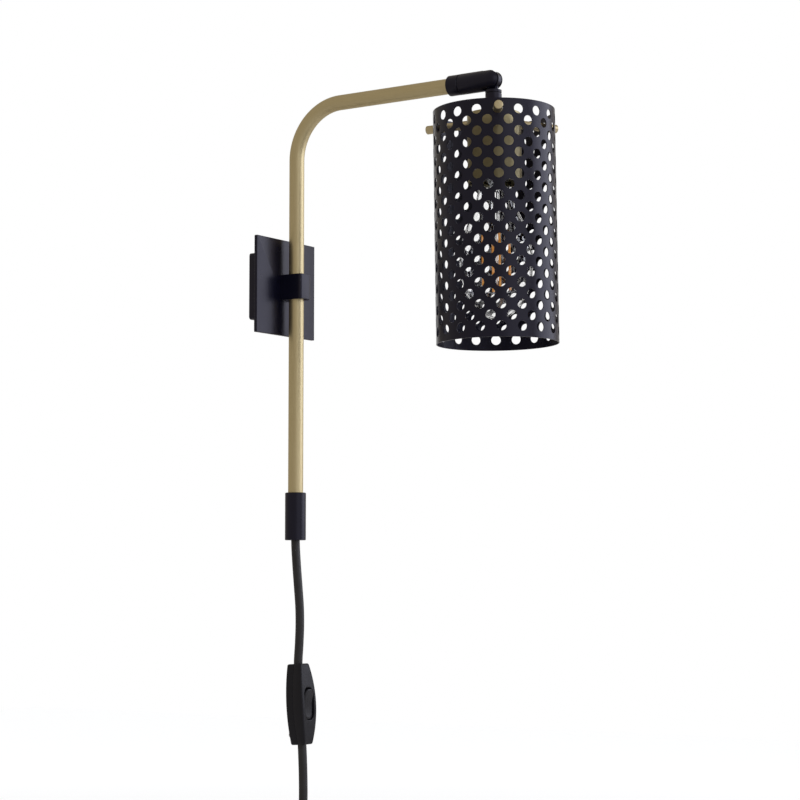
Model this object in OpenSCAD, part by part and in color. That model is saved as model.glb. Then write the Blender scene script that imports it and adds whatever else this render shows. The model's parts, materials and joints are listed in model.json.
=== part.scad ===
// Swing-arm wall sconce with a perforated cylinder shade.
// Frame: the wall is the plane Y = 0 and the wall box is centred on the origin.
// +X runs along the wall, -Y points into the room and +Z is up. Millimetres.

/* [Wall fixing] */
// Side of the square wall box
box_side = 56.8; // [50:0.2:70]
// Depth of the wall box, from the wall to the back plate
box_depth = 15; // [13:0.5:20]
// Side walls of the box
box_wall = 1.6; // [1:0.1:2.4]
// Front wall of the box
box_front = 2; // [1.5:0.1:3]
// Corner radius of the box
box_corner = 2.5; // [1:0.5:5]
// Side of the square back plate
plate_side = 82; // [72:1:120]
// Thickness of the back plate
plate_t = 3; // [2:0.5:5]
// Sheet thickness of the wall bracket
bracket_t = 1.5; // [1:0.1:2]
// Depth of the bracket's two flanges
flange_depth = 10.5; // [9:0.5:11]
// Distance between the two wall screw slots
slot_spacing = 30; // [24:1:32]
// Width of a wall screw slot
slot_w = 4.6; // [4:0.2:5.4]
// Length of a wall screw slot, end to end
slot_len = 9; // [7:0.5:10]

/* [Tube clamp] */
// Distance from the back plate to the tube's axis
tube_standoff = 10.8; // [10:0.2:20]
// Height of the clamp
clamp_h = 21.4; // [21:0.2:40]
// Clamp wall beside the tube
clamp_side = 1.45; // [1.2:0.05:4]
// Clamp wall in front of the tube
clamp_front = 4; // [2:0.1:8]
// Rounding of the clamp's two front edges
clamp_round = 2; // [0.5:0.5:3]
// Distance between the two clamp screws
clamp_screw_spacing = 15; // [14:0.5:16]
// Thread of the clamp screws
clamp_screw_d = 4; // [3:0.5:4]
// Diameter of the friction shoe behind the tube
shoe_d = 7.6; // [6:0.2:8]
// Radial clearance of the tube in the clamp
tube_fit = 0.05; // [0.02:0.01:0.1]

/* [Arm] */
// Outer diameter of the arm tube
tube_d = 12.7; // [11:0.1:14]
// Wall of the arm tube
tube_wall = 1; // [0.8:0.1:1.2]
// Radius of the bend, at the tube's centre line
bend_r = 45; // [30:1:60]
// Height of the horizontal arm above the plate's centre
arm_rise = 153.9; // [110:0.1:220]
// Distance from the upright to the shade's pivot
arm_reach = 196.1; // [150:0.1:300]
// Depth of the upright's lower end below the plate's centre
tube_drop = 200; // [120:1:202]

/* [Bottom sleeve] */
// Wall of the sleeve over the tube
sleeve_wall = 2.5; // [1.5:0.1:4]
// Length of tube held in the sleeve
sleeve_grip = 25.5; // [15:0.5:40]
// Space in the sleeve below the tube
sleeve_gap = 6; // [3:0.5:8]
// Floor of the sleeve, which the cord passes
sleeve_floor = 8.5; // [3:0.5:12]
// Thread of the sleeve's and the collar's grub screws
grub_d = 3; // [2:0.5:4]

/* [Swivel] */
// Wall of the collar over the tube
collar_wall = 2.05; // [1.5:0.05:4]
// Length of the collar
collar_len = 10.8; // [9:0.2:16]
// End wall of the collar
collar_end = 1.5; // [1:0.1:3]
// Outer diameter of the barrel
barrel_d = 17; // [15.6:0.1:20]
// Distance from the collar to the pivot
barrel_len = 30.2; // [27:0.2:45]
// Seam between the collar and the barrel
seam = 0.3; // [0.2:0.1:0.6]
// Distance that the barrel's round end is set back from the pivot
nose_back = 1.2; // [0:0.1:1.5]
// End wall of the barrel, which turns on the stud
barrel_end = 3; // [2:0.2:4]
// Diameter of the hollow stud
stud_d = 8; // [7:0.5:8.5]
// Wire passage through the stud
stud_bore = 5.6; // [4:0.2:6]
// Thickness of the tongue in the barrel's slot
tongue_t = 4.6; // [3.6:0.2:5.4]
// Thickness of the spacer on each side of the tongue
pivot_washer_t = 1.7; // [0.5:0.1:2]
// Diameter of the pivot screw
pivot_d = 4; // [3:0.5:4.5]
// Radial clearance of the turning bores
bore_fit = 0.05; // [0.02:0.01:0.1]

/* [Stem] */
// Diameter of the stem below the barrel
stem_d = 13.3; // [12.6:0.1:15]
// Length of the stem's wide part
stem_len = 13.2; // [10:0.2:20]
// Lean of the head at rest, with the shade's mouth away from the wall
head_lean = 0.9; // [0:0.1:3]
// Thread of the stem through the cup
stem_thread = 10; // [8:0.5:11]
// Height of the lock nut
nut_h = 6; // [4:0.5:8]
// Width of the lock nut across its flats
nut_af = 14; // [13:0.5:17]

/* [Shade] */
// Outer diameter of the shade
shade_d = 98.2; // [90:0.2:120]
// Height of the shade
shade_h = 188.3; // [150:0.1:230]
// Sheet thickness of the shade
shade_t = 0.8; // [0.6:0.1:1.5]
// Diameter of the holes in the shade
hole_d = 7.8; // [7.6:0.1:8.2]
// Holes in each row
hole_count = 18; // [12:1:20]
// Extra plain sheet between the holes at the shade's seam
seam_w = 3.4; // [0:0.1:6]
// Distance between rows
row_pitch = 8.57; // [8.5:0.01:12]
// Distance from the top rim to the first row's centre
rim_margin = 8.2; // [6:0.1:9]
// Height of the shade's top rim above the cup
shade_lip = 2; // [0:0.1:4]
// Diameter of the three pins that carry the shade
pin_d = 7; // [5:0.2:7.2]
// Length of a pin outside the shade
pin_out = 11.9; // [4:0.1:14]

/* [Cup and lamp holder] */
// Outer diameter of the cup
cup_d = 43.4; // [42:0.2:50]
// Height of the cup
cup_h = 56.6; // [50:0.2:70]
// Side wall of the cup
cup_wall = 1; // [0.8:0.1:1.5]
// Top wall of the cup
cup_top = 1.2; // [1:0.1:2]
// Outer diameter of the lamp holder
holder_d = 34; // [32:0.5:34.5]
// Depth of the lamp holder's mouth inside the cup
holder_recess = 3.5; // [2:0.5:8]
// Thread of a shade pin in the cup
pin_thread = 4; // [3:0.5:4]

/* [Bulb] */
// Largest diameter of the glass
bulb_d = 59; // [50:0.5:64]
// Length of the glass from its neck to its tip
bulb_len = 116.6; // [95:0.2:120]
// Distance from the tip to the widest place
bulb_belly = 46.5; // [35:0.5:55]
// Thickness of the glass
glass_t = 0.8; // [0.5:0.1:1.2]
// Diameter of the screw cap
cap_d = 26.2; // [26:0.1:26.6]
// Length of a light strip in the bulb
filament_len = 46.5; // [35:0.5:50]
// Radius of the ring of light strips
filament_ring = 11; // [7:0.5:12]
// Height of the strips' upper ends above the glass's widest place
filament_rise = 22.5; // [18:0.5:26]

/* [Cord and switch] */
// Diameter of the cord
cord_d = 7.4; // [6:0.1:7.4]
// Length of the switch
switch_len = 67; // [65:0.5:72]
// Width of the switch at its middle
switch_mid_w = 20.6; // [19:0.2:26]
// Width of the switch at its ends
switch_end_w = 11.8; // [11.4:0.2:16]
// Thickness of the switch's back half
switch_back = 7.6; // [7:0.2:9]
// Thickness of the switch's front half at its middle
switch_front = 9.9; // [9.4:0.1:12]
// Thickness of the switch's front half at its ends
switch_front_end = 7.2; // [6.4:0.1:9]
// Length of the rocker
rocker_len = 25.6; // [20:0.2:28]
// Width of the rocker
rocker_w = 12.4; // [10:0.2:13]
// Width of the plug
plug_w = 25; // [22:0.5:32]
// Thickness of the plug
plug_t = 14; // [12:0.5:18]
// Height of the plug's body
plug_h = 28; // [22:1:40]
// Length of the plug's tapered strain relief
relief_len = 22; // [20:1:40]
// Length of the plug's blades outside its body
blade_len = 17; // [15:0.5:18]

/* [Hidden] */
$fn = 64;

BLACK = [0.06, 0.06, 0.07];
BRASS = [0.66, 0.59, 0.42];
STEEL = [0.62, 0.63, 0.65];
NYLON = [0.86, 0.85, 0.8];
eps = 0.01;

// Places along -Y, measured from the wall
plate_face = box_depth + plate_t;
axis_y = -(plate_face + tube_standoff);
pivot_y = axis_y - arm_reach;
barrel_start = pivot_y + barrel_len;
collar_start = barrel_start + collar_len;
tube_end = barrel_start + collar_end;
tube_r = tube_d / 2;
tube_inner_r = tube_r - tube_wall;

// Wall box and bracket
box_hollow = box_side - 2 * box_wall;
box_inner_round = 1;
bracket_gap = 0.3;
bracket_h = box_hollow - 2 * bracket_gap;
bracket_w = slot_spacing + slot_len + 6;
flange_w = 18;
box_screw_d = 3;
box_screw_len = 4.2;
box_screw_depth = 6;

// Clamp
clamp_w = tube_d + 2 * (tube_fit + clamp_side);
clamp_reach = tube_standoff + tube_r + tube_fit + clamp_front;
clamp_thread_depth = 3.8;
screw_head_d = 7;
screw_head_h = 2.6;
screw_hole_gap = 0.2;
spring_h = 1.2;
spring_sheet = 0.4;
shoe_fit = 0.1;

// Sleeve and collar
sleeve_d = tube_d + 2 * sleeve_wall;
sleeve_top = -tube_drop + sleeve_grip;
sleeve_bottom = -tube_drop - sleeve_gap - sleeve_floor;
cord_gap = 0.3;
cable_gap = 1;
edge = 0.5;
collar_d = tube_d + 2 * collar_wall;

// Stud, barrel and pivot
stud_head_len = 2.4;
stud_head_d = 2 * tube_inner_r - 0.2;
cavity_len = 9;
cavity_d = barrel_d - 2.6;
roll_washer_t = 0.8;
roll_gap = 0.1;
stud_nut_h = 3.5;
stud_nut_af = 11;
stud_tip = 2;
slot_side_gap = 0.1;
barrel_slot = tongue_t + 2 * (pivot_washer_t + slot_side_gap);
barrel_r = barrel_d / 2;
tongue_r = barrel_r - 2;
pivot_blind = 3;
spacer_r = tongue_r - 1.6;
spacer_gap = 0.1;
pivot_head_d = 6.4;
pivot_head_h = 2;
ear_t = 1.6;
pivot_seat = barrel_slot / 2 + ear_t;

// Stem, cup and shade heights
stem_gap = 0.3;
groove_depth = 0.9;
groove_w = 1;
groove_drop = 2;
stem_top = arm_rise - barrel_r - stem_gap;
stem_bottom = stem_top - stem_len;
cup_z = stem_bottom - nut_h;
cup_bottom = cup_z - cup_h;
cup_r = cup_d / 2;
shade_top = cup_z + shade_lip;
shade_r = shade_d / 2;
row_one = shade_top - rim_margin;
row_count = floor((shade_h - 2 * rim_margin + hole_d / 4) / row_pitch) + 1;
first_hole = 214.6;
seam_column = -floor(hole_count / 3);
hole_step = (360 - seam_w / shade_r * 180 / PI) / hole_count;
pin_columns = [for (i = [0 : 2]) round(i * hole_count / 3)];
pin_nut_h = 2.2;
pin_nut_gap = 0.5;
pin_thread_end = 0.2;
pin_nut_af = 7;

// Lamp holder and bulb
holder_top = cup_z - cup_top;
holder_bottom = cup_bottom + holder_recess;
shell_r = 14.1;
shell_t = 0.4;
shell_len = 28;
shell_recess = 2;
shell_top = holder_bottom + shell_recess + shell_len;
stem_end = shell_top + 4;
stem_bore_rise = 8;
contact_h = 2;
contact_gap = 2;
contact_w = 4;
contact_depth = 3;
contact_t = 0.6;
cap_r = cap_d / 2;
cap_t = 0.5;
tip_top = shell_top - contact_h;
tip_h = 1.6;
tip_r = 5;
insulator_h = 1.8;
shoulder_r = 8;
shoulder_h = 3.5;
cap_shoulder = tip_top - tip_h - insulator_h - shoulder_h;
cap_bottom = holder_bottom + 1;
neck_top = cap_bottom + 2;
neck_r = cap_r - cap_t - 0.2;
bulb_tip_z = neck_top - bulb_len;
belly_z = bulb_tip_z + bulb_belly;
bulb_r = bulb_d / 2;
filament_top = belly_z + filament_rise;
filament_d = 2;
stem_rod_d = 2.4;
wire_d = 0.8;

// Cord: hand-chosen points of its centre line, from the sleeve to the plug
cord_r = cord_d / 2;
cord_sides = 12;
upper_route = [[0, -28.8, -206], [0, -28.9, -216], [0, -30.2, -235], [0, -32.1, -255],
  [0, -33.5, -271], [0, -33.8, -286], [0, -33.2, -301], [0, -32.2, -317.8], [0, -32.6, -324]];
lower_route = [[0, -36.1, -378.4], [0, -36.5, -384.6], [0, -37.3, -398], [0, -37.8, -412],
  [0, -38, -425], [0, -38, -436], [2, -38, -447.6], [8, -38, -458], [17, -38, -465.4]];
tail_route = [[20.8, -42, -477.2], [28.8, -44.8, -490], [31, -45.6, -502], [31, -45.6, -518],
  [31, -45.6, -535], [31, -45.6, -552]];
coil_centre = [-4, -38, -502];
coil_outer_r = 42.5;
coil_inner_r = 35;
coil_pitch = 7.5;
coil_slots = 3;
tie_w = 8;
tie_t = 1;
tie_gap = 0.4;

// Switch: its middle lies on the cord and it leans with it
switch_place = [0, -34.35, -351.2];
switch_lean = -3.7;
entry_gap = 0.1;
cavity_end = 22;
cavity_w = 14;
cavity_back = 5.8;
cavity_front = 5.2;
rocker_gap = 0.35;
rocker_end_gap = 0.8;
rocker_pivot = 5.4;
rocker_pin_d = 2;
rocker_rest = 6;
switch_screw_d = 2.4;
switch_screw_x = 5.6;
switch_screw_z = 25;

// Plug: hangs from the end of the cord
plug_top = [31, -45.6, -552];
blade_t = 1.5;
blade_w = 6.35;
blade_spacing = 12.7;
blade_root = 8;
blade_hole_d = 3;
blade_hole_z = 3.5;

// ---- helpers ----

// Stands the children's XY plane on the wall, at this distance, with their +Z into the room
module from_wall(distance) {
  translate([0, -distance, 0]) rotate([90, 0, 0]) children();
}

// Turned part along the arm: the children's +Z points away from the wall
module along_arm(y) {
  translate([0, y, arm_rise]) rotate([90, 0, 0]) children();
}

// Places the children on the head's own axis, at their height when the head hangs straight
module on_head(z) {
  translate([0, pivot_y, arm_rise]) rotate([-head_lean, 0, 0])
    translate([0, 0, z - arm_rise]) children();
}

// Square outline with round corners
module rounded_square(side, r) {
  square([side - 2 * r, side], center = true);
  square([side, side - 2 * r], center = true);
  for (x = [-1, 1], y = [-1, 1]) {
    translate([x * (side / 2 - r), y * (side / 2 - r)]) circle(r);
  }
}

// Cylinder with both rims chamfered
module turned(d, h, chamfer) {
  rotate_extrude() polygon([[0, 0], [d / 2 - chamfer, 0], [d / 2, chamfer],
    [d / 2, h - chamfer], [d / 2 - chamfer, h], [0, h]]);
}

// Hexagonal prism, by its width across the flats
module hexagon(af, h) {
  cylinder(d = af / cos(30), h = h, $fn = 6);
}

// Grub screw, pointing in +X from its tip
module grub(d, len) {
  rotate([0, 90, 0]) difference() {
    cylinder(d = d, h = len);
    translate([0, 0, len / 2]) hexagon(d / 2, len / 2 + eps);
  }
}

// Unit vector
function unit(v) = v / norm(v);

// Direction of a route at its point i
function heading(route, i) =
  unit(route[min(i + 1, len(route) - 1)] - route[max(i - 1, 0)]);

// Ring of points around a route's point i
function ring(route, i, r, sides) =
  let (t = heading(route, i), u = unit(cross(t, [1, 0, 0])), v = cross(t, u))
  [for (k = [0 : sides - 1])
    route[i] + r * (cos(360 * k / sides) * u + sin(360 * k / sides) * v)];

// Round tube swept along a route
module sweep(route, r, sides) {
  n = len(route);
  points = [for (i = [0 : n - 1]) each ring(route, i, r, sides)];
  walls = [for (i = [0 : n - 2], k = [0 : sides - 1])
    [i * sides + k, i * sides + (k + 1) % sides,
      (i + 1) * sides + (k + 1) % sides, (i + 1) * sides + k]];
  first = [for (k = [sides - 1 : -1 : 0]) k];
  last = [for (k = [0 : sides - 1]) (n - 1) * sides + k];
  polyhedron(points, concat(walls, [first, last]), convexity = 6);
}

// ---- wall fixing ----

module slot_hole() {
  straight = slot_len - slot_w;
  square([straight, slot_w], center = true);
  for (x = [-1, 1]) translate([x * straight / 2, 0]) circle(d = slot_w);
}

module wall_bracket() {
  color(STEEL) {
    from_wall(0) linear_extrude(bracket_t) difference() {
      square([bracket_w, bracket_h], center = true);
      for (x = [-1, 1]) translate([x * slot_spacing / 2, 0]) slot_hole();
    }
    for (z = [-1, 1]) difference() {
      translate([-flange_w / 2, -flange_depth, z * (bracket_h - bracket_t) / 2 - bracket_t / 2])
        cube([flange_w, flange_depth - bracket_t, bracket_t]);
      translate([0, -box_screw_depth, z * bracket_h / 2])
        cylinder(d = box_screw_d, h = 4 * bracket_t, center = true);
    }
  }
}

module wall_box() {
  color(BLACK) difference() {
    from_wall(0) linear_extrude(box_depth) rounded_square(box_side, box_corner);
    from_wall(-1) linear_extrude(box_depth - box_front + 1)
      rounded_square(box_hollow, box_inner_round);
    for (z = [-1, 1]) {
      translate([0, 0, z * clamp_screw_spacing / 2]) from_wall(0)
        cylinder(d = clamp_screw_d + screw_hole_gap, h = box_depth + 1);
      translate([0, -box_screw_depth, z * box_side / 2])
        cylinder(d = box_screw_d + screw_hole_gap, h = 3 * box_wall, center = true);
    }
  }
}

module box_screws() {
  color(STEEL) for (z = [-1, 1]) {
    rotate([0, z < 0 ? 180 : 0, 0])
      translate([0, -box_screw_depth, box_side / 2 - 0.3 - box_screw_len])
      rotate([0, -90, 0]) grub(box_screw_d, box_screw_len);
  }
}

module back_plate() {
  color(BLACK) difference() {
    from_wall(box_depth) linear_extrude(plate_t) rounded_square(plate_side, 0.8);
    for (z = [-1, 1]) translate([0, 0, z * clamp_screw_spacing / 2])
      from_wall(box_depth - 1) cylinder(d = clamp_screw_d + screw_hole_gap, h = plate_t + 2);
  }
}

// ---- tube clamp ----

module clamp_outline() {
  w = clamp_w;
  difference() {
    union() {
      translate([-w / 2, -clamp_reach + clamp_round]) square([w, clamp_reach - clamp_round]);
      translate([-w / 2 + clamp_round, -clamp_reach])
        square([w - 2 * clamp_round, clamp_round + eps]);
      for (x = [-1, 1])
        translate([x * (w / 2 - clamp_round), -clamp_reach + clamp_round]) circle(clamp_round);
    }
    translate([0, -tube_standoff]) circle(tube_r + tube_fit);
  }
}

module tube_clamp() {
  color(BLACK) difference() {
    translate([0, -plate_face, -clamp_h / 2]) linear_extrude(clamp_h) clamp_outline();
    from_wall(plate_face - 1) cylinder(d = shoe_d + screw_hole_gap, h = tube_standoff);
    for (z = [-1, 1]) translate([0, 0, z * clamp_screw_spacing / 2])
      from_wall(plate_face - 1) cylinder(d = clamp_screw_d, h = clamp_thread_depth + 1);
  }
}

module clamp_screws() {
  seat = box_depth - box_front;
  color(STEEL) for (z = [-1, 1]) translate([0, 0, z * clamp_screw_spacing / 2]) {
    difference() {
      from_wall(seat - screw_head_h) cylinder(d = screw_head_d, h = screw_head_h);
      from_wall(seat - screw_head_h - 1) hexagon(3, screw_head_h);
    }
    from_wall(seat)
      cylinder(d = clamp_screw_d, h = plate_face - seat + clamp_thread_depth - screw_hole_gap);
  }
}

module friction_shoe() {
  color(NYLON) difference() {
    from_wall(plate_face + spring_h)
      cylinder(d = shoe_d, h = tube_standoff - spring_h - tube_r / 2);
    translate([0, axis_y, 0]) cylinder(r = tube_r + shoe_fit, h = clamp_h, center = true);
  }
}

module shoe_spring() {
  rise = spring_h - spring_sheet;
  outer = shoe_d / 2 - 0.2;
  inner = 1.8;
  color(STEEL) from_wall(plate_face) rotate_extrude()
    polygon([[inner, 0], [outer, rise], [outer, spring_h], [inner, spring_sheet]]);
}

// ---- arm ----

// One run of round tube or cable along the arm, from a height to a place along the arm
module arm_run(low, far, outer_r, inner_r) {
  module section() {
    difference() {
      circle(outer_r);
      if (inner_r > 0) circle(inner_r);
    }
  }
  translate([0, axis_y, low]) linear_extrude(arm_rise - bend_r - low) section();
  translate([0, axis_y - bend_r, arm_rise - bend_r]) rotate([90, 0, 90])
    rotate_extrude(angle = 90) translate([bend_r, 0]) section();
  along_arm(axis_y - bend_r) linear_extrude(axis_y - bend_r - far) section();
}

module arm_tube() {
  color(BRASS) arm_run(-tube_drop, tube_end, tube_r, tube_inner_r);
}

module arm_cable() {
  low = -tube_drop - sleeve_gap + cord_gap;
  far = tube_end + stud_head_len + cable_gap;
  color(BLACK) arm_run(low, far, cord_r, 0);
}

module bottom_sleeve() {
  len = sleeve_top - sleeve_bottom;
  color(BLACK) difference() {
    translate([0, axis_y, sleeve_bottom]) turned(sleeve_d, len, edge);
    translate([0, axis_y, -tube_drop]) cylinder(r = tube_r, h = sleeve_grip + 1);
    translate([0, axis_y, -tube_drop - sleeve_gap]) cylinder(r = tube_inner_r, h = sleeve_gap + 1);
    translate([0, axis_y, sleeve_bottom - 1])
      cylinder(r = cord_r + cord_gap, h = sleeve_floor + 2);
    translate([tube_inner_r, axis_y, sleeve_top - sleeve_grip / 2])
      rotate([0, 90, 0]) cylinder(d = grub_d, h = tube_wall + sleeve_wall + 1);
  }
}

module sleeve_screw() {
  color(STEEL) translate([tube_r, axis_y, sleeve_top - sleeve_grip / 2])
    grub(grub_d, sleeve_wall - 0.2);
}

module arm_collar() {
  color(BLACK) difference() {
    along_arm(collar_start) turned(collar_d, collar_len, edge);
    along_arm(collar_start + 1) cylinder(r = tube_r, h = collar_len - collar_end + 1);
    along_arm(tube_end + 1) cylinder(d = stud_d, h = collar_end + 2);
    translate([tube_inner_r, collar_start - collar_len / 2, arm_rise])
      rotate([0, 90, 0]) cylinder(d = grub_d, h = tube_wall + collar_wall + 1);
  }
}

module collar_screw() {
  color(STEEL) translate([tube_r, collar_start - collar_len / 2, arm_rise])
    grub(grub_d, collar_wall - 0.2);
}

// ---- swivel ----

nut_face = barrel_start - seam - barrel_end - 2 * roll_gap - roll_washer_t;

module swivel_stud() {
  len = tube_end - nut_face + stud_nut_h + stud_tip;
  color(BRASS) difference() {
    union() {
      along_arm(tube_end + stud_head_len) cylinder(d = stud_head_d, h = stud_head_len);
      along_arm(tube_end) cylinder(d = stud_d, h = len);
    }
    along_arm(tube_end + stud_head_len + 1) cylinder(d = stud_bore, h = len + stud_head_len + 2);
  }
}

module stud_nut() {
  color(BRASS) along_arm(nut_face) difference() {
    hexagon(stud_nut_af, stud_nut_h);
    translate([0, 0, -1]) cylinder(d = stud_d, h = stud_nut_h + 2);
  }
}

module roll_washer() {
  color(NYLON) along_arm(nut_face + roll_gap + roll_washer_t) difference() {
    cylinder(d = cavity_d - 0.6, h = roll_washer_t);
    translate([0, 0, -1]) cylinder(d = stud_d + 2 * bore_fit, h = roll_washer_t + 2);
  }
}

module swivel_barrel() {
  start = barrel_start - seam;
  straight = start - pivot_y;
  round_end = straight - nose_back;
  color(BLACK) difference() {
    along_arm(start) union() {
      rotate_extrude() polygon([[0, 0], [barrel_r - edge, 0], [barrel_r, edge],
        [barrel_r, round_end], [0, round_end]]);
      translate([0, 0, round_end]) sphere(barrel_r);
    }
    along_arm(start + 1) cylinder(r = stud_d / 2 + bore_fit, h = barrel_end + 2);
    along_arm(start - barrel_end) cylinder(d = cavity_d, h = cavity_len);
    along_arm(start - barrel_end) cylinder(d = stud_bore, h = straight - barrel_end);
    translate([-barrel_slot / 2, pivot_y - barrel_d, arm_rise - barrel_d])
      cube([barrel_slot, barrel_d + barrel_r + stem_gap, 2 * barrel_d]);
    translate([-barrel_slot / 2 - pivot_blind, pivot_y, arm_rise])
      rotate([0, 90, 0]) cylinder(d = pivot_d, h = barrel_d);
    translate([pivot_seat, pivot_y, arm_rise])
      rotate([0, 90, 0]) cylinder(d = pivot_head_d + screw_hole_gap, h = barrel_d);
  }
}

module pivot_screw() {
  reach = pivot_seat + barrel_slot / 2 + pivot_blind - screw_hole_gap;
  color(STEEL) translate([pivot_seat, pivot_y, arm_rise]) {
    rotate([0, -90, 0]) cylinder(d = pivot_d, h = reach);
    rotate([0, 90, 0]) difference() {
      cylinder(d = pivot_head_d, h = pivot_head_h);
      translate([0, 0, pivot_head_h / 2]) hexagon(2.5, pivot_head_h);
    }
  }
}

module pivot_washers() {
  color(NYLON) for (x = [-1, 1])
    translate([x * (tongue_t + slot_side_gap + pivot_washer_t) / 2, pivot_y, arm_rise])
    rotate([0, 90, 0]) difference() {
      cylinder(r = spacer_r, h = pivot_washer_t, center = true);
      cylinder(r = pivot_d / 2 + spacer_gap, h = pivot_washer_t + 1, center = true);
    }
}

module swivel_stem() {
  groove_r = stem_d / 2 - groove_depth;
  high = stem_len - groove_drop;
  color(BLACK) difference() {
    union() {
      translate([0, pivot_y, arm_rise]) rotate([0, 90, 0])
        cylinder(r = tongue_r, h = tongue_t, center = true);
      on_head(stem_top - 1) translate([-tongue_t / 2, -tongue_r / 2, 0])
        cube([tongue_t, tongue_r, barrel_r]);
      on_head(stem_bottom) rotate_extrude() polygon([[0, 0], [stem_d / 2, 0],
        [stem_d / 2, high - groove_w], [groove_r, high - groove_w], [groove_r, high],
        [stem_d / 2, high], [stem_d / 2, stem_len], [0, stem_len]]);
      on_head(stem_end) cylinder(d = stem_thread, h = stem_bottom - stem_end + 1);
    }
    translate([0, pivot_y, arm_rise]) rotate([0, 90, 0])
      cylinder(r = pivot_d / 2 + bore_fit, h = stem_d, center = true);
    on_head(stem_end - 1) cylinder(d = stud_bore, h = stem_bottom - stem_end + stem_bore_rise);
  }
}

module lock_nut() {
  color(BLACK) on_head(cup_z) difference() {
    hexagon(nut_af, nut_h);
    translate([0, 0, -1]) cylinder(d = stem_thread, h = nut_h + 2);
  }
}

// ---- cup and lamp holder ----

// Angle of the shade pin at a column, from the front pin
function pin_angle(i) = i * 360 / hole_count;

// Places the children at each shade pin, with +X pointing outwards
module at_pins() {
  for (i = pin_columns) on_head(row_one) rotate([0, 0, first_hole + pin_angle(i)]) children();
}

module socket_cup() {
  color(BRASS) difference() {
    on_head(cup_bottom) cylinder(d = cup_d, h = cup_h);
    on_head(cup_bottom - 1) cylinder(d = cup_d - 2 * cup_wall, h = cup_h - cup_top + 1);
    on_head(cup_z - cup_top - 1) cylinder(d = stem_thread + screw_hole_gap, h = cup_top + 2);
    at_pins() translate([cup_r - 3 * cup_wall, 0, 0])
      rotate([0, 90, 0]) cylinder(d = pin_thread, h = 5 * cup_wall);
  }
}

module lamp_holder() {
  depth = shell_top - holder_bottom;
  color(BLACK) difference() {
    on_head(holder_bottom) cylinder(d = holder_d, h = holder_top - holder_bottom);
    on_head(holder_bottom - 1) cylinder(r = shell_r, h = depth + 1);
    on_head(shell_top - 1) cylinder(d = stem_thread, h = holder_top - shell_top + 2);
  }
}

module screw_shell() {
  color(BRASS) on_head(shell_top - shell_len) difference() {
    cylinder(r = shell_r, h = shell_len);
    translate([0, 0, -1]) cylinder(r = shell_r - shell_t, h = shell_len - shell_t + 1);
    cylinder(r = tip_r + contact_gap, h = shell_len + 1);
  }
}

module centre_contact() {
  color(BRASS) {
    on_head(tip_top) cylinder(r = tip_r - 1, h = contact_t);
    on_head(tip_top + contact_t) translate([-contact_w / 2, -contact_depth / 2, 0])
      cube([contact_w, contact_depth, stem_end - contact_t - tip_top - contact_t]);
  }
}

module shade_pins() {
  len = shade_r + pin_out - cup_r;
  thread_len = cup_wall + pin_nut_gap + pin_nut_h + pin_thread_end;
  color(BRASS) at_pins() {
    translate([cup_r, 0, 0]) rotate([0, 90, 0]) cylinder(d = pin_d, h = len);
    translate([cup_r - thread_len, 0, 0]) rotate([0, 90, 0])
      cylinder(d = pin_thread, h = thread_len + eps);
  }
}

module pin_nuts() {
  color(STEEL) at_pins() translate([cup_r - cup_wall - pin_nut_gap - pin_nut_h, 0, 0])
    rotate([0, 90, 0]) difference() {
      hexagon(pin_nut_af, pin_nut_h);
      translate([0, 0, -1]) cylinder(d = pin_thread, h = pin_nut_h + 2);
    }
}

// ---- shade ----

// Angle of hole i in a row, from the front pin. In row one the pins' holes follow the cup
function hole_angle(row, i) =
  row == 0 && len([for (p = pin_columns) if ((i - p) % hole_count == 0) p]) > 0
    ? pin_angle(i) : (i - (row % 2) / 2) * hole_step;

module shade() {
  cutter = 6;
  color(BLACK) difference() {
    on_head(shade_top - shade_h) cylinder(r = shade_r, h = shade_h);
    on_head(shade_top - shade_h - 1) cylinder(r = shade_r - shade_t, h = shade_h + 2);
    for (row = [0 : row_count - 1], i = [seam_column : seam_column + hole_count - 1])
      on_head(row_one - row * row_pitch)
      rotate([0, 0, first_hole + hole_angle(row, i)])
      translate([shade_r - cutter / 2, 0, 0])
      rotate([0, 90, 0]) cylinder(d = hole_d, h = cutter, $fn = 24);
  }
}

// ---- bulb ----

module bulb_cap() {
  color(STEEL) on_head(0) rotate_extrude() polygon([[cap_r - cap_t, cap_bottom],
    [cap_r, cap_bottom], [cap_r, cap_shoulder], [shoulder_r, cap_shoulder + shoulder_h],
    [shoulder_r - cap_t, cap_shoulder + shoulder_h], [cap_r - cap_t, cap_shoulder - cap_t]]);
}

module bulb_insulator() {
  z = cap_shoulder + shoulder_h;
  color(BLACK) on_head(z) cylinder(r1 = shoulder_r, r2 = tip_r, h = insulator_h);
}

module bulb_tip() {
  color(STEEL) on_head(tip_top - tip_h) cylinder(r = tip_r, h = tip_h);
}

// Outer radius of the glass at a height above its tip
function glass_r(h) = h < bulb_belly
  ? bulb_r * sqrt(max(0, 1 - pow(1 - h / bulb_belly, 2)))
  : neck_r + (bulb_r - neck_r) * (1 + cos(180 * (h - bulb_belly) / (bulb_len - bulb_belly))) / 2;

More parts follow.
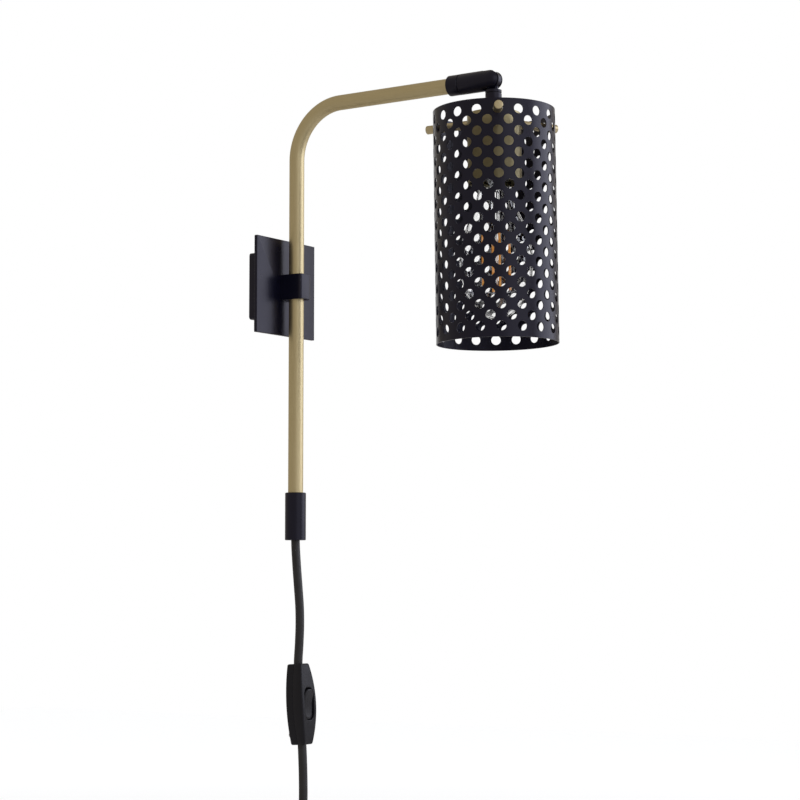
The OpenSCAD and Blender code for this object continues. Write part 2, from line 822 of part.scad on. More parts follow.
module bulb_glass() {
  steps = 14;
  low = [for (i = [0 : steps]) bulb_belly * (1 - cos(90 * i / steps))];
  high = [for (i = [1 : steps]) bulb_belly + (bulb_len - bulb_belly) * i / steps];
  heights = concat(low, high);
  outer = [for (h = heights) [glass_r(h), h]];
  k = (bulb_belly - glass_t) / bulb_belly;
  inner = [for (i = [len(heights) - 1 : -1 : 0])
    let (h = heights[i], low_part = h < bulb_belly)
    [max(0, glass_r(h) * (low_part ? (bulb_r - glass_t) / bulb_r : 1) - (low_part ? 0 : glass_t)),
      low_part ? bulb_belly - (bulb_belly - h) * k : h]];
  color([0.8, 0.85, 0.85, 0.4]) on_head(bulb_tip_z) rotate_extrude()
    polygon(concat(outer, inner));
}

module bulb_stem() {
  flare = 10;
  drop = neck_top - filament_top;
  color([0.8, 0.85, 0.85, 0.4]) {
    on_head(neck_top - flare) cylinder(r1 = 3.5, r2 = neck_r - glass_t, h = flare);
    on_head(filament_top + 6) cylinder(r = 3.5, h = drop - flare - 6);
    on_head(filament_top - filament_len - 1)
      cylinder(d = stem_rod_d, h = filament_len + 7);
  }
}

module bulb_filaments() {
  color("orange") on_head(filament_top - filament_len) for (a = [45 : 90 : 315])
    rotate([0, 0, a]) translate([filament_ring, 0, 0]) cylinder(d = filament_d, h = filament_len);
}

module filament_wires() {
  start = stem_rod_d / 2 + 0.05;
  color(STEEL) for (z = [filament_top + wire_d / 2, filament_top - filament_len - wire_d / 2])
    on_head(z) for (a = [45 : 90 : 315]) rotate([0, 0, a])
    translate([start, 0, 0]) rotate([0, 90, 0]) cylinder(d = wire_d, h = filament_ring - start);
}

// ---- cord, plug and switch ----

module cord_upper() {
  color(BLACK) sweep(upper_route, cord_r, cord_sides);
}

module cord_lower() {
  color(BLACK) sweep(lower_route, cord_r, cord_sides);
}

module cord_tail() {
  color(BLACK) sweep(tail_route, cord_r, cord_sides);
}

module cord_coil() {
  inner = coil_inner_r - coil_pitch / 2;
  outer = coil_outer_r + coil_pitch / 2;
  color(BLACK) translate(coil_centre + [0, -coil_pitch / 2, 0]) rotate([-90, 0, 0])
    rotate_extrude() translate([inner, 0]) square([outer - inner, coil_slots * coil_pitch]);
}

module cord_tie() {
  inner = coil_inner_r - coil_pitch / 2 - tie_gap;
  outer = coil_outer_r + coil_pitch / 2 + tie_gap;
  depth = coil_slots * coil_pitch + 2 * tie_gap;
  color([0.1, 0.1, 0.1]) difference() {
    translate(coil_centre + [-outer - tie_t, -coil_pitch / 2 - tie_gap - tie_t, -tie_w / 2])
      cube([outer - inner + 2 * tie_t, depth + 2 * tie_t, tie_w]);
    translate(coil_centre + [-outer, -coil_pitch / 2 - tie_gap, -tie_w])
      cube([outer - inner, depth, 2 * tie_w]);
  }
}

// Places the children at the root face of each blade
module at_blades() {
  for (x = [-1, 1])
    translate(plug_top + [x * blade_spacing / 2, 0, -relief_len - plug_h]) children();
}

module plug_body() {
  round_r = plug_t / 2;
  color(BLACK) difference() {
    union() {
      translate(plug_top + [0, 0, -relief_len]) cylinder(r1 = cord_r + 2, r2 = cord_r + 0.7,
        h = relief_len);
      translate(plug_top + [0, 0, -relief_len - plug_h]) linear_extrude(plug_h) {
        square([plug_w - plug_t, plug_t], center = true);
        for (x = [-1, 1]) translate([x * (plug_w - plug_t) / 2, 0]) circle(round_r);
      }
    }
    at_blades() translate([-blade_t / 2, -blade_w / 2, -1])
      cube([blade_t, blade_w, blade_root + 1]);
  }
}

module plug_blades() {
  color(BRASS) at_blades() difference() {
    translate([-blade_t / 2, -blade_w / 2, -blade_len])
      cube([blade_t, blade_w, blade_len + blade_root]);
    translate([0, 0, blade_hole_z - blade_len]) rotate([0, 90, 0])
      cylinder(d = blade_hole_d, h = 2 * blade_t, center = true);
  }
}

module on_switch() {
  translate(switch_place) rotate([switch_lean, 0, 0]) children();
}

// Radius of an arc that rises by h over a half chord of c
function arc_r(c, h) = (c * c + h * h) / (2 * h);

// Outline of the switch seen from its face, extruded from depth a to depth b along Y
module switch_plan(a, b) {
  r = arc_r(switch_len / 2, (switch_mid_w - switch_end_w) / 2);
  translate([0, b, 0]) rotate([90, 0, 0]) linear_extrude(b - a) intersection() {
    square([switch_mid_w, switch_len], center = true);
    translate([r - switch_mid_w / 2, 0]) circle(r, $fn = 180);
    translate([switch_mid_w / 2 - r, 0]) circle(r, $fn = 180);
  }
}

module switch_channels() {
  for (s = [0, 180]) rotate([0, s, 0]) translate([0, 0, cavity_end - 1])
    cylinder(r = cord_r + entry_gap, h = switch_len / 2);
}

module switch_screw_holes(d, depth) {
  for (s = [-1, 1]) translate([s * switch_screw_x, 0, s * switch_screw_z])
    rotate([90, 0, 0]) cylinder(d = d, h = depth);
}

module switch_base() {
  color(BLACK) on_switch() difference() {
    switch_plan(0, switch_back);
    switch_channels();
    translate([-cavity_w / 2, -1, -cavity_end]) cube([cavity_w, cavity_back + 1, 2 * cavity_end]);
    translate([0, switch_back + 1, 0]) switch_screw_holes(switch_screw_d, switch_back + 2);
  }
}

// Oval with straight sides, along Z, extruded along Y
module oval(w, len, a, b) {
  translate([0, b, 0]) rotate([90, 0, 0]) linear_extrude(b - a) {
    square([w, len - w], center = true);
    for (z = [-1, 1]) translate([0, z * (len - w) / 2]) circle(d = w);
  }
}

module switch_cover() {
  r = arc_r(switch_len / 2, switch_front - switch_front_end);
  color(BLACK) on_switch() difference() {
    intersection() {
      switch_plan(-switch_front, 0);
      translate([-switch_mid_w, r - switch_front, 0]) rotate([0, 90, 0])
        cylinder(r = r, h = 2 * switch_mid_w, $fn = 180);
    }
    switch_channels();
    translate([-cavity_w / 2, -cavity_front, -cavity_end])
      cube([cavity_w, cavity_front + 1, 2 * cavity_end]);
    oval(rocker_w + 2 * rocker_gap, rocker_len + 2 * rocker_end_gap, -switch_front - 1, 0);
    translate([0, -rocker_pivot, 0]) rotate([0, 90, 0])
      cylinder(d = rocker_pin_d, h = cavity_w + 2, center = true);
    switch_screw_holes(switch_screw_d, 4);
  }
}

module switch_screws() {
  color(STEEL) on_switch() translate([0, switch_back - 0.4, 0])
    switch_screw_holes(switch_screw_d, switch_back + 3);
}

module switch_contacts() {
  strip_len = 14;
  color(BRASS) on_switch() for (z = [-1, 1]) for (x = [-1, 1])
    translate([x * 4 - 1.5, cavity_back - 0.6, z * 12 - strip_len / 2])
    cube([3, 0.6, strip_len]);
}

module rocker_pin() {
  color(STEEL) on_switch() translate([0, -rocker_pivot, 0]) rotate([0, 90, 0])
    cylinder(d = rocker_pin_d, h = cavity_w + 1.6, center = true);
}

module switch_rocker() {
  face_r = 60;
  color(BLACK) on_switch() translate([0, -rocker_pivot, 0]) rotate([rocker_rest, 0, 0])
    translate([0, rocker_pivot, 0]) difference() {
      oval(rocker_w, rocker_len, -switch_front, -rocker_pivot + 2.2);
      translate([0, -face_r - switch_front + 1.2, 0]) rotate([0, 90, 0])
        cylinder(r = face_r, h = 2 * rocker_w, center = true, $fn = 120);
      translate([0, -rocker_pivot, 0]) rotate([0, 90, 0])
        cylinder(r = rocker_pin_d / 2 + bore_fit, h = 2 * rocker_w, center = true);
    }
}

wall_bracket();
wall_box();
box_screws();
back_plate();
tube_clamp();
clamp_screws();
friction_shoe();
shoe_spring();
arm_tube();
arm_cable();
bottom_sleeve();
sleeve_screw();
arm_collar();
collar_screw();
swivel_stud();
stud_nut();
swivel_barrel();
roll_washer();
pivot_screw();
pivot_washers();
swivel_stem();
lock_nut();
socket_cup();
lamp_holder();
screw_shell();
centre_contact();
shade_pins();
pin_nuts();
shade();
bulb_cap();
bulb_insulator();
bulb_tip();
bulb_glass();
bulb_stem();
bulb_filaments();
filament_wires();
cord_upper();
cord_lower();
cord_coil();
cord_tail();
cord_tie();
plug_body();
plug_blades();
switch_base();
switch_cover();
switch_screws();
switch_contacts();
rocker_pin();
switch_rocker();
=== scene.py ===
# %% [markdown]
# # A swing arm wall sconce, dressed in Blender
#
# The lamp was built first as exact solids: wall box, plate, clamp, tube arm, swivel,
# perforated shade, bulb, lead and switch. This lesson loads those solids as a fixed frame
# and gives them surfaces and finishes. Nothing here changes a size: the new pieces take
# their places from the solids' boxes, or repeat the same measures, so the picture and the
# moving model stay one object.
#
# Units are metres. The wall is the plane Y = 0, the room is towards -Y, and Z is up.

import json
import math

import bmesh
import bpy
import numpy as np
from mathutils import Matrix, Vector


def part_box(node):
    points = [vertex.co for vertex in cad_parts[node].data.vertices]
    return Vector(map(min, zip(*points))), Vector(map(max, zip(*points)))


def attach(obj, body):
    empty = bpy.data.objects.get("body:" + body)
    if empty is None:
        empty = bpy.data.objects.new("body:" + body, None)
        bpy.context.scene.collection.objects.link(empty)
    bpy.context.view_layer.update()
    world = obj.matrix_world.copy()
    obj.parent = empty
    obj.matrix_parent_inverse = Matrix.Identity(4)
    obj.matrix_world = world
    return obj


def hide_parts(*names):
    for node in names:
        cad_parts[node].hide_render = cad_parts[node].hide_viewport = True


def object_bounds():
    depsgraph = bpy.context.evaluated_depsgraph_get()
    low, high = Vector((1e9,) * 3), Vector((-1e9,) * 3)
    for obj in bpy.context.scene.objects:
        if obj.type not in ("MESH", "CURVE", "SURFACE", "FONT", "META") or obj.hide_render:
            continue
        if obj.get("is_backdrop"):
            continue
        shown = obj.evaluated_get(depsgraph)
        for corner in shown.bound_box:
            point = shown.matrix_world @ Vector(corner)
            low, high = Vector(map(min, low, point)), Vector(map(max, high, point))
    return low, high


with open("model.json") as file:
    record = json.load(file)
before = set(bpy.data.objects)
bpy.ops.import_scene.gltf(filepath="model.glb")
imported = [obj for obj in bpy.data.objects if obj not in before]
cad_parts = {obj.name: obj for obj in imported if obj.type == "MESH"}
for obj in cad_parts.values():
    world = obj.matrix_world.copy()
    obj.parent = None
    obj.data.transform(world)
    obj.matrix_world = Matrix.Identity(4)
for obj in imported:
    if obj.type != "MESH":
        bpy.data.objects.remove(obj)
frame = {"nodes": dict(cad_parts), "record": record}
scene = bpy.context.scene
cad_low, cad_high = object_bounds()
print("CAD box, mm:", [round(1000 * s, 1) for s in cad_high - cad_low])

# %% [markdown]
# ## The camera
#
# The lamp is looked at from the left and a little from below, from almost two metres
# away. A long lens keeps the upright and the shade's sides nearly parallel. The camera is
# turned with `to_track_quat`, which points its -Z axis along the line of sight and keeps
# its Y axis upwards, so there is no roll to correct.

# %% Set up the camera
azimuth, elevation = math.radians(-56.35), math.radians(-4.78)
to_camera = Vector((math.sin(azimuth) * math.cos(elevation),
                    -math.cos(azimuth) * math.cos(elevation), math.sin(elevation)))
camera = bpy.data.objects.new("room_view", bpy.data.cameras.new("room_view"))
scene.collection.objects.link(camera)
camera.data.sensor_width, camera.data.lens = 36, 96.8
camera.data.clip_end = 60
camera.location = (-1.4621, -1.1079, -0.2478)
camera.rotation_mode = "QUATERNION"
camera.rotation_quaternion = (-to_camera).to_track_quat("-Z", "Y")
scene.camera = camera
print("camera distance, m:", round(camera.location.length, 3))

# %% [markdown]
# ## From arrays to a mesh
#
# A surface is a sheet of points with rows and columns, and every row runs once round the
# piece. Its faces join each point to its neighbours, and their numbers follow from the
# rows and columns alone, so one array operation gives them all. `foreach_set` hands whole
# arrays to Blender, which is many times faster than adding points one by one.
#
# A sheet closes in one of two ways. A solid piece gets a flat face on its first and on
# its last row. A ring, such as a tube with a bore, joins its last row to its first.
#
# Two things are settled for every sheet. Its UV map measures millimetres across and
# along it, because a brushed or woven finish has to follow the surface. And its faces
# point outwards: the volume inside a closed skin is a sum over its faces, and when that
# sum is negative the skin is inside out, so all its faces are turned round.

# %% Faces of a sheet
def sheet_faces(rows, columns, ring):
    """Corner numbers and (row, column) steps of the quads of a rows x columns sheet."""
    r, c = np.arange(rows if ring else rows - 1), np.arange(columns)
    r, c = (a.ravel() for a in np.meshgrid(r, c, indexing="ij"))
    steps = np.stack([r, c, r, c + 1, r + 1, c + 1, r + 1, c], 1).reshape(-1, 4, 2)
    return (steps[..., 0] % rows) * columns + steps[..., 1] % columns, steps


def volume(points, faces):
    """Signed volume: a sixth of the sum of A . (B x C) over the triangles A B C of every
    face, measured from the middle of the points."""
    p = points - points.mean(0)
    fans = (p[f] for f in faces)
    return sum(np.einsum("mi,mki->", f[:, 0], np.cross(f[:, 1:-1], f[:, 2:])) for f in fans) / 6


def sheet_parts(sheet, ring):
    """Points, faces and UVs of one closed sheet, facing outwards. UV is the distance along a
    row and along a column in millimetres, and on a flat end the distance along its two main
    directions."""
    rows, columns = sheet.shape[:2]
    quads, steps = sheet_faces(rows, columns, ring)
    around = np.linalg.norm(np.diff(sheet, axis=1, append=sheet[:, :1]), axis=2).max(0)
    along = np.linalg.norm(np.diff(sheet, axis=0, append=sheet[:1]), axis=2).max(1)
    u = np.concatenate([[0], np.cumsum(around)]) * 1000
    v = np.concatenate([[0], np.cumsum(along)]) * 1000
    faces, uv = [quads], [np.stack([u[steps[..., 1]], v[steps[..., 0]]], -1)]
    ends = [] if ring else [(0, slice(None, None, -1)), (rows - 1, slice(None))]
    for row, order in ends:
        flat = (sheet[row] - sheet[row].mean(0))[order]
        axes = np.linalg.svd(flat, full_matrices=False)[2][:2]
        faces.append((row * columns + np.arange(columns))[order][None])
        uv.append((flat @ axes.T * 1000)[None])
    points = sheet.reshape(-1, 3)
    if volume(points, faces) < 0:
        faces, uv = [f[:, ::-1] for f in faces], [u[:, ::-1] for u in uv]
    return points, faces, uv


# %% Mesh and object
def finished(name, points, faces, uv, sharp=35.0, body="wall_fixing"):
    """Makes an object from points (n, 3), a list of face arrays (m, k) and a list of UV arrays
    (m, k, 2) in millimetres. Edges that turn more than sharp degrees stay crisp."""
    mesh = bpy.data.meshes.new(name)
    corners = np.concatenate([f.ravel() for f in faces]).astype(np.int32)
    sizes = np.concatenate([np.full(len(f), f.shape[1]) for f in faces]).astype(np.int32)
    starts = (np.cumsum(sizes) - sizes).astype(np.int32)
    mesh.vertices.add(len(points))
    mesh.vertices.foreach_set("co", np.asarray(points, np.float32).ravel())
    mesh.loops.add(len(corners))
    mesh.loops.foreach_set("vertex_index", corners)
    mesh.polygons.add(len(sizes))
    mesh.polygons.foreach_set("loop_start", starts)
    mesh.update(calc_edges=True)
    layer = mesh.uv_layers.new(name="surface_mm")
    flat = np.concatenate([u.reshape(-1, 2) for u in uv]).astype(np.float32)
    layer.data.foreach_set("uv", flat.ravel())
    mesh.polygons.foreach_set("use_smooth", np.ones(len(sizes), bool))
    mesh.validate()
    mesh.set_sharp_from_angle(angle=math.radians(sharp))
    made = bpy.data.objects.new(name, mesh)
    scene.collection.objects.link(made)
    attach(made, body)
    print(f"{name}: {len(points)} points, {len(sizes)} faces")
    return made


def skin(name, sheets, ring=False, **more):
    """One object from a (rows, columns, 3) sheet, or from a list of them."""
    points, faces, uv, count = [], [], [], 0
    for sheet in sheets if isinstance(sheets, list) else [sheets]:
        p, f, u = sheet_parts(np.asarray(sheet, float), ring)
        points, faces, uv = points + [p], faces + [g + count for g in f], uv + u
        count += len(p)
    return finished(name, np.concatenate(points), faces, uv, **more)


# %% [markdown]
# ## Curves carried round an axis or along a line
#
# Most of the lamp is turned or drawn: a profile goes round an axis, or a circle goes along
# a line. Real turned parts have no knife edges, so `softened` swaps each corner of a
# profile for a small arc before it is carried round. Some parts lean, so they are worked
# out upright, which is easier to read, and `turned` then leans all their points at once.

# %% Profiles and sweeps
# A profile that ends on its axis stops this short of it, so that its last ring has a size
near_axis = 0.0001


def softened(profile, radius, steps=4):
    """The profile with each inner corner B replaced by a soft arc: the curve
    (1-t)^2 A + 2t(1-t) B + t^2 C between the points A and C that lie radius before and
    after B, or at most this share of a short side away."""
    p = np.asarray(profile, float)
    size = np.broadcast_to(np.asarray(radius, float), len(p) - 2)[:, None]
    before, after = p[:-2] - p[1:-1], p[2:] - p[1:-1]
    long_in, long_out = (np.linalg.norm(d, axis=1, keepdims=True) for d in (before, after))
    most = 0.45
    a = p[1:-1] + before / long_in * np.minimum(size, most * long_in)
    c = p[1:-1] + after / long_out * np.minimum(size, most * long_out)
    t = np.linspace(0, 1, steps + 1)[None, :, None]
    arcs = (1 - t) ** 2 * a[:, None] + 2 * t * (1 - t) * p[1:-1, None] + t**2 * c[:, None]
    return np.concatenate([p[:1], arcs.reshape(-1, p.shape[1]), p[-1:]])


def carried_round(profile, centre, axis, count):
    """Sheet of a (radius, height) profile carried round an axis through centre: each point
    goes to centre + height * axis + radius * (cos a * X + sin a * Y), where X and Y stand
    square to the axis."""
    axis = np.asarray(axis, float) / np.linalg.norm(axis)
    side = np.array([1.0, 0, 0]) if abs(axis[0]) < 0.9 else np.array([0, 1.0, 0])
    x = np.cross(side, axis) / np.linalg.norm(np.cross(side, axis))
    y = np.cross(axis, x)
    a = np.linspace(0, 2 * np.pi, count, endpoint=False)[None, :, None]
    r, h = (np.asarray(profile, float)[:, k, None, None] for k in (0, 1))
    return np.asarray(centre, float) + h * axis + r * (np.cos(a) * x + np.sin(a) * y)


def carried_along(line, radius, count, across):
    """Sheet of a circle carried along a line: at each point the circle stands square to the
    line, and its start is turned to face the direction across."""
    line = np.asarray(line, float)
    ahead = np.gradient(line, axis=0)
    ahead /= np.linalg.norm(ahead, axis=1, keepdims=True)
    u = np.cross(ahead, across)
    u /= np.linalg.norm(u, axis=1, keepdims=True)
    w = np.cross(ahead, u)
    a = np.linspace(0, 2 * np.pi, count, endpoint=False)[None, :, None]
    return line[:, None] + radius * (np.cos(a) * u[:, None] + np.sin(a) * w[:, None])


# %% Boxes and turns
def box_of(node):
    """Low and high corner of a solid's box."""
    return np.array([list(corner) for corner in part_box(node)])


def turned(points, angle, about=0):
    """Points turned about an axis along X. With y and z measured from it, the new ones are
    y cos a + z sin a and z cos a - y sin a."""
    p = np.asarray(points, float) - about
    c, s = math.cos(angle), math.sin(angle)
    return np.stack([p[..., 0], c * p[..., 1] + s * p[..., 2], c * p[..., 2] - s * p[..., 1]],
                    -1) + about


# %% [markdown]
# ## Finishes as node groups
#
# Several parts share a finish, so each effect is a node group that is built once and
# placed in many materials: the grain of powder paint, the fine lines of brushed metal
# and the spark grain of moulded plastic. A group only works out colours and numbers. The
# shader itself stays in each material, so the material can still be baked or exported.
# Positions are in metres, so a scale of 1000 makes grains of about a millimetre.

# %% Node helpers
def put(tree, kind, wires=None, **settings):
    """Adds a node. settings are the node's own properties; wires gives its inputs, by name or
    number, a value or another node's output."""
    made = tree.nodes.new(kind)
    for key, value in settings.items():
        setattr(made, key, value)
    for key, value in (wires or {}).items():
        if isinstance(value, bpy.types.NodeSocket):
            tree.links.new(value, made.inputs[key])
        else:
            made.inputs[key].default_value = value
    return made


def between(tree, value, low, high, to_low, to_high):
    """A number carried from one range to another, and held inside the new one."""
    return put(tree, "ShaderNodeMapRange", {0: value, 1: low, 2: high, 3: to_low, 4: to_high}
               ).outputs[0]


def mixed(tree, share, a, b):
    """Colour a, turning into colour b as share goes from 0 to 1."""
    return put(tree, "ShaderNodeMix", {0: share, 6: a, 7: b}, data_type="RGBA").outputs[2]


def noise(tree, where, scale, detail=2.0, rough=0.5):
    """Soft noise between 0 and 1, with about scale bumps in a unit of where."""
    return put(tree, "ShaderNodeTexNoise", {"Vector": where, "Scale": scale, "Detail": detail,
                                            "Roughness": rough}).outputs["Fac"]


def stretched(tree, where, scale):
    """The pattern's coordinates multiplied along each axis."""
    return put(tree, "ShaderNodeVectorMath", {0: where, 1: scale}, operation="MULTIPLY").outputs[0]


def joined(tree, operation, a, b):
    """Two numbers added, multiplied or otherwise joined by one Math node."""
    return put(tree, "ShaderNodeMath", {0: a, 1: b}, operation=operation).outputs[0]


# %% Groups that make a finish
def effect(name, **values):
    """A new node group and its inputs. It takes a place, Where, and these values: a tuple
    becomes a colour socket and a number a plain one. It gives a colour, a roughness and a
    height."""
    group = bpy.data.node_groups.new(name, "ShaderNodeTree")
    group.interface.new_socket("Where", in_out="INPUT", socket_type="NodeSocketVector")
    for label, value in values.items():
        kind = "NodeSocketColor" if isinstance(value, tuple) else "NodeSocketFloat"
        group.interface.new_socket(label, in_out="INPUT", socket_type=kind).default_value = value
    for label, kind in (("Colour", "Color"), ("Roughness", "Float"), ("Height", "Float")):
        group.interface.new_socket(label, in_out="OUTPUT", socket_type="NodeSocket" + kind)
    return group, put(group, "NodeGroupInput").outputs


def give_out(group, **values):
    """Joins these values to the group's outputs of the same names."""
    ends = put(group, "NodeGroupOutput").inputs
    for label, value in values.items():
        group.links.new(value, ends[label])
    print(f"{group.name}: {len(group.nodes)} nodes")


# %% [markdown]
# Powder paint has clouds some centimetres wide, an orange-peel grain and, here and there,
# a lighter speck. Brushed metal has long lines in two widths: noise that is squeezed
# across them and drawn out along them. Moulded plastic carries the mould's spark-eroded
# grain under a drifting film of dust.

# %% Powder paint
paint_grain, got = effect("paint_grain", Colour=(0.02, 0.02, 0.024, 1),
                          Bloom=(0.03, 0.03, 0.036, 1), Grain=1100.0)
cloud = noise(paint_grain, got["Where"], 38.0, 3.0)
speck = noise(paint_grain, got["Where"], 4200.0, 1.0)
lit = mixed(paint_grain, between(paint_grain, cloud, 0.35, 0.65, 0.0, 0.7), got["Colour"],
            got["Bloom"])
give_out(paint_grain,
         Colour=mixed(paint_grain, between(paint_grain, speck, 0.66, 0.8, 0, 0.5), lit,
                      got["Bloom"]),
         Roughness=between(paint_grain, cloud, 0.3, 0.7, 0.27, 0.34),
         Height=noise(paint_grain, got["Where"], got["Grain"]))

# %% Brushed metal
brushed_lines, got = effect("brushed_lines", Light=(0.6, 0.52, 0.34, 1),
                            Dark=(0.45, 0.38, 0.23, 1), Smooth=0.28, Rough=0.4)
fine = noise(brushed_lines, stretched(brushed_lines, got["Where"], (14.0, 0.35, 14.0)), 1.0, 3.0)
coarse = noise(brushed_lines, stretched(brushed_lines, got["Where"], (3.0, 0.06, 3.0)), 1.0)
lines = joined(brushed_lines, "ADD", fine, coarse)
give_out(brushed_lines,
         Colour=mixed(brushed_lines, between(brushed_lines, lines, 0.7, 1.3, 0, 1), got["Dark"],
                      got["Light"]),
         Roughness=between(brushed_lines, lines, 0.7, 1.3, got["Rough"], got["Smooth"]),
         Height=fine)

# %% Moulded grain
moulded_grain, got = effect("moulded_grain", Colour=(0.02, 0.02, 0.022, 1),
                            Dusty=(0.035, 0.035, 0.037, 1), Grain=2600.0, Smooth=0.42, Rough=0.6)
drift = noise(moulded_grain, got["Where"], 70.0, 3.0)
give_out(moulded_grain,
         Colour=mixed(moulded_grain, between(moulded_grain, drift, 0.35, 0.7, 0, 1),
                      got["Colour"], got["Dusty"]),
         Roughness=between(moulded_grain, drift, 0.3, 0.7, got["Smooth"], got["Rough"]),
         Height=noise(moulded_grain, got["Where"], got["Grain"], 1.5, 0.6))

# %% [markdown]
# ## Materials
#
# Each finish is one Principled shader. What stays the same all over a surface, such as
# how metallic it is, is set on the shader. What changes comes from a group. A Bump node
# turns the group's height into tiny slopes, which is what makes paint look like paint at
# a close look: the highlight breaks up a little.

# %% Material helpers
def new_material(name, **constants):
    """A material with one Principled shader, its fixed values set on the shader itself."""
    made = bpy.data.materials.new(name)
    made.use_nodes = True
    shader = made.node_tree.nodes["Principled BSDF"]
    for label, value in constants.items():
        shader.inputs[label.replace("_", " ")].default_value = value
    return made, made.node_tree, shader.inputs


def place(tree, uv=False):
    """Where a pattern sits: the piece's own UV map in millimetres, or its place in metres."""
    if uv:
        return put(tree, "ShaderNodeUVMap", uv_map="surface_mm").outputs[0]
    return put(tree, "ShaderNodeTexCoord").outputs["Object"]


def bumpy(tree, shader, height, strength, reach):
    """Tilts the shader's normals by the slopes of a height, which is worth reach metres."""
    slopes = put(tree, "ShaderNodeBump", {"Strength": strength, "Distance": reach,
                                          "Height": height})
    tree.links.new(slopes.outputs[0], shader["Normal"])


def with_group(name, group, values, bump, reach, uv=False, shift=None, **constants):
    """A material whose colour, roughness and bump come from one group."""
    made, tree, shader = new_material(name, **constants)
    where = place(tree, uv)
    if shift:
        where = shift(tree, where)
    node = put(tree, "ShaderNodeGroup", node_tree=group)
    tree.links.new(where, node.inputs["Where"])
    for label, value in values.items():
        node.inputs[label].default_value = value
    tree.links.new(node.outputs["Colour"], shader["Base Color"])
    tree.links.new(node.outputs["Roughness"], shader["Roughness"])
    bumpy(tree, shader, node.outputs["Height"], bump, reach)
    return made


# %% Paint
# The shade has a paint of its own, because the seam is drawn into it further on
BLACK = {"Colour": (0.0035, 0.0038, 0.014, 1), "Bloom": (0.0065, 0.0068, 0.021, 1)}
black_paint, shade_paint = (
    with_group(name, paint_grain, BLACK, bump=0.35, reach=0.00004, Specular_IOR_Level=0.34,
               Specular_Tint=(0.92, 0.89, 1.0, 1)) for name in ("black_paint", "shade_paint"))


# %% Metals
def metal(name, light, dark, smooth, rough, bump=0.05, **pattern):
    """Brushed metal: its light and dark lines, the roughness of each, and how they run."""
    values = {"Light": (*light, 1), "Dark": (*dark, 1), "Smooth": smooth, "Rough": rough}
    return with_group(name, brushed_lines, values, bump, 0.00002, Metallic=1.0, **pattern)


def fine_in_height(tree, where):
    """Places in metres scaled for the brushed lines, which come out long in Y, shorter in X
    and finest in height."""
    return stretched(tree, where, (300.0, 300.0, 1000.0))


def quarter_turn(tree, where):
    """The UV map turned by 90 degrees, so that lines run round a piece and not up it."""
    return put(tree, "ShaderNodeMapping", {"Vector": where, "Rotation": (0, 0, math.pi / 2)}
               ).outputs[0]


drawn_brass = metal("drawn_brass", (0.69, 0.59, 0.355), (0.60, 0.51, 0.29), 0.44, 0.52,
                    bump=0.12, uv=True)
# The cup's brass is a darker copy of the tube's brass: painted shade for the dim light inside the
# shade
spun_brass_painted_shade = metal("spun_brass_painted_shade", (0.48, 0.42, 0.245), (0.40, 0.345, 0.195), 0.36, 0.44,
                   bump=0.12, uv=True, shift=quarter_turn)
plain_brass = metal("plain_brass", (0.67, 0.58, 0.37), (0.56, 0.48, 0.29), 0.3, 0.42,
                    shift=fine_in_height)
zinc_steel = metal("zinc_steel", (0.62, 0.63, 0.65), (0.45, 0.46, 0.49), 0.25, 0.4,
                   shift=fine_in_height)


# %% Plastics
def plastic(name, colour, dusty, smooth, rough, bump, reach=0.00005, grain=2600.0, **constants):
    """Moulded plastic: its colour, clean and dusty, and the roughness of each."""
    values = {"Colour": (*colour, 1), "Dusty": (*dusty, 1), "Grain": grain, "Smooth": smooth,
              "Rough": rough}
    return with_group(name, moulded_grain, values, bump, reach, **constants)


switch_plastic = plastic("switch_plastic", (0.004, 0.0042, 0.009), (0.007, 0.0074, 0.013),
                         0.4, 0.5, bump=0.25, Specular_IOR_Level=0.3)
rocker_plastic = plastic("rocker_plastic", (0.0035, 0.0037, 0.008), (0.006, 0.0063, 0.011),
                         0.3, 0.42, bump=0.15, Specular_IOR_Level=0.35)
cord_pvc = plastic("cord_pvc", (0.012, 0.012, 0.014), (0.02, 0.02, 0.023), 0.38, 0.5,
                   bump=0.15, grain=1500.0)
phenolic = plastic("phenolic", (0.02, 0.018, 0.017), (0.04, 0.036, 0.034), 0.18, 0.32, bump=0.06)
nylon = plastic("nylon", (0.8, 0.79, 0.73), (0.7, 0.69, 0.62), 0.42, 0.6, bump=0.1,
                reach=0.00004)

# %% [markdown]
# ## Glass, light strips and the strap
#
# The bulb is clear glass, so its Principled shader lets light through and bends it. A
# faint bump gives the soft waves of blown glass. The four strips carry an orange coat
# that turns blue light into warm white. The lamp is off, but the coat looks bright
# through the glass, so it gets a slight painted glow: it gives out light though no
# lamp is lit in it. The strap's hooks and weave are a chequer of raised threads.

# %% Glass, strips and strap
clear_glass, tree, shader = new_material("clear_glass", Transmission_Weight=1.0, IOR=1.46,
                                         Roughness=0.0, Base_Color=(1, 1, 1, 1))
bumpy(tree, shader, noise(tree, place(tree), 45.0, 1.0), 0.03, 0.001)

# A painted glow: the strips give out a little light in their coat's colour although the lamp is
# off
light_strip, tree, shader = new_material("light_strip", Roughness=0.45, Emission_Strength=0.25)
dots = noise(tree, stretched(tree, place(tree), (300.0, 300.0, 900.0)), 1.0)
coat_and_painted_glow = mixed(tree, between(tree, dots, 0.35, 0.65, 0, 1), (0.75, 0.27, 0.04, 1),
             (0.9, 0.42, 0.09, 1))
tree.links.new(coat_and_painted_glow, shader["Base Color"])
tree.links.new(coat_and_painted_glow, shader["Emission Color"])

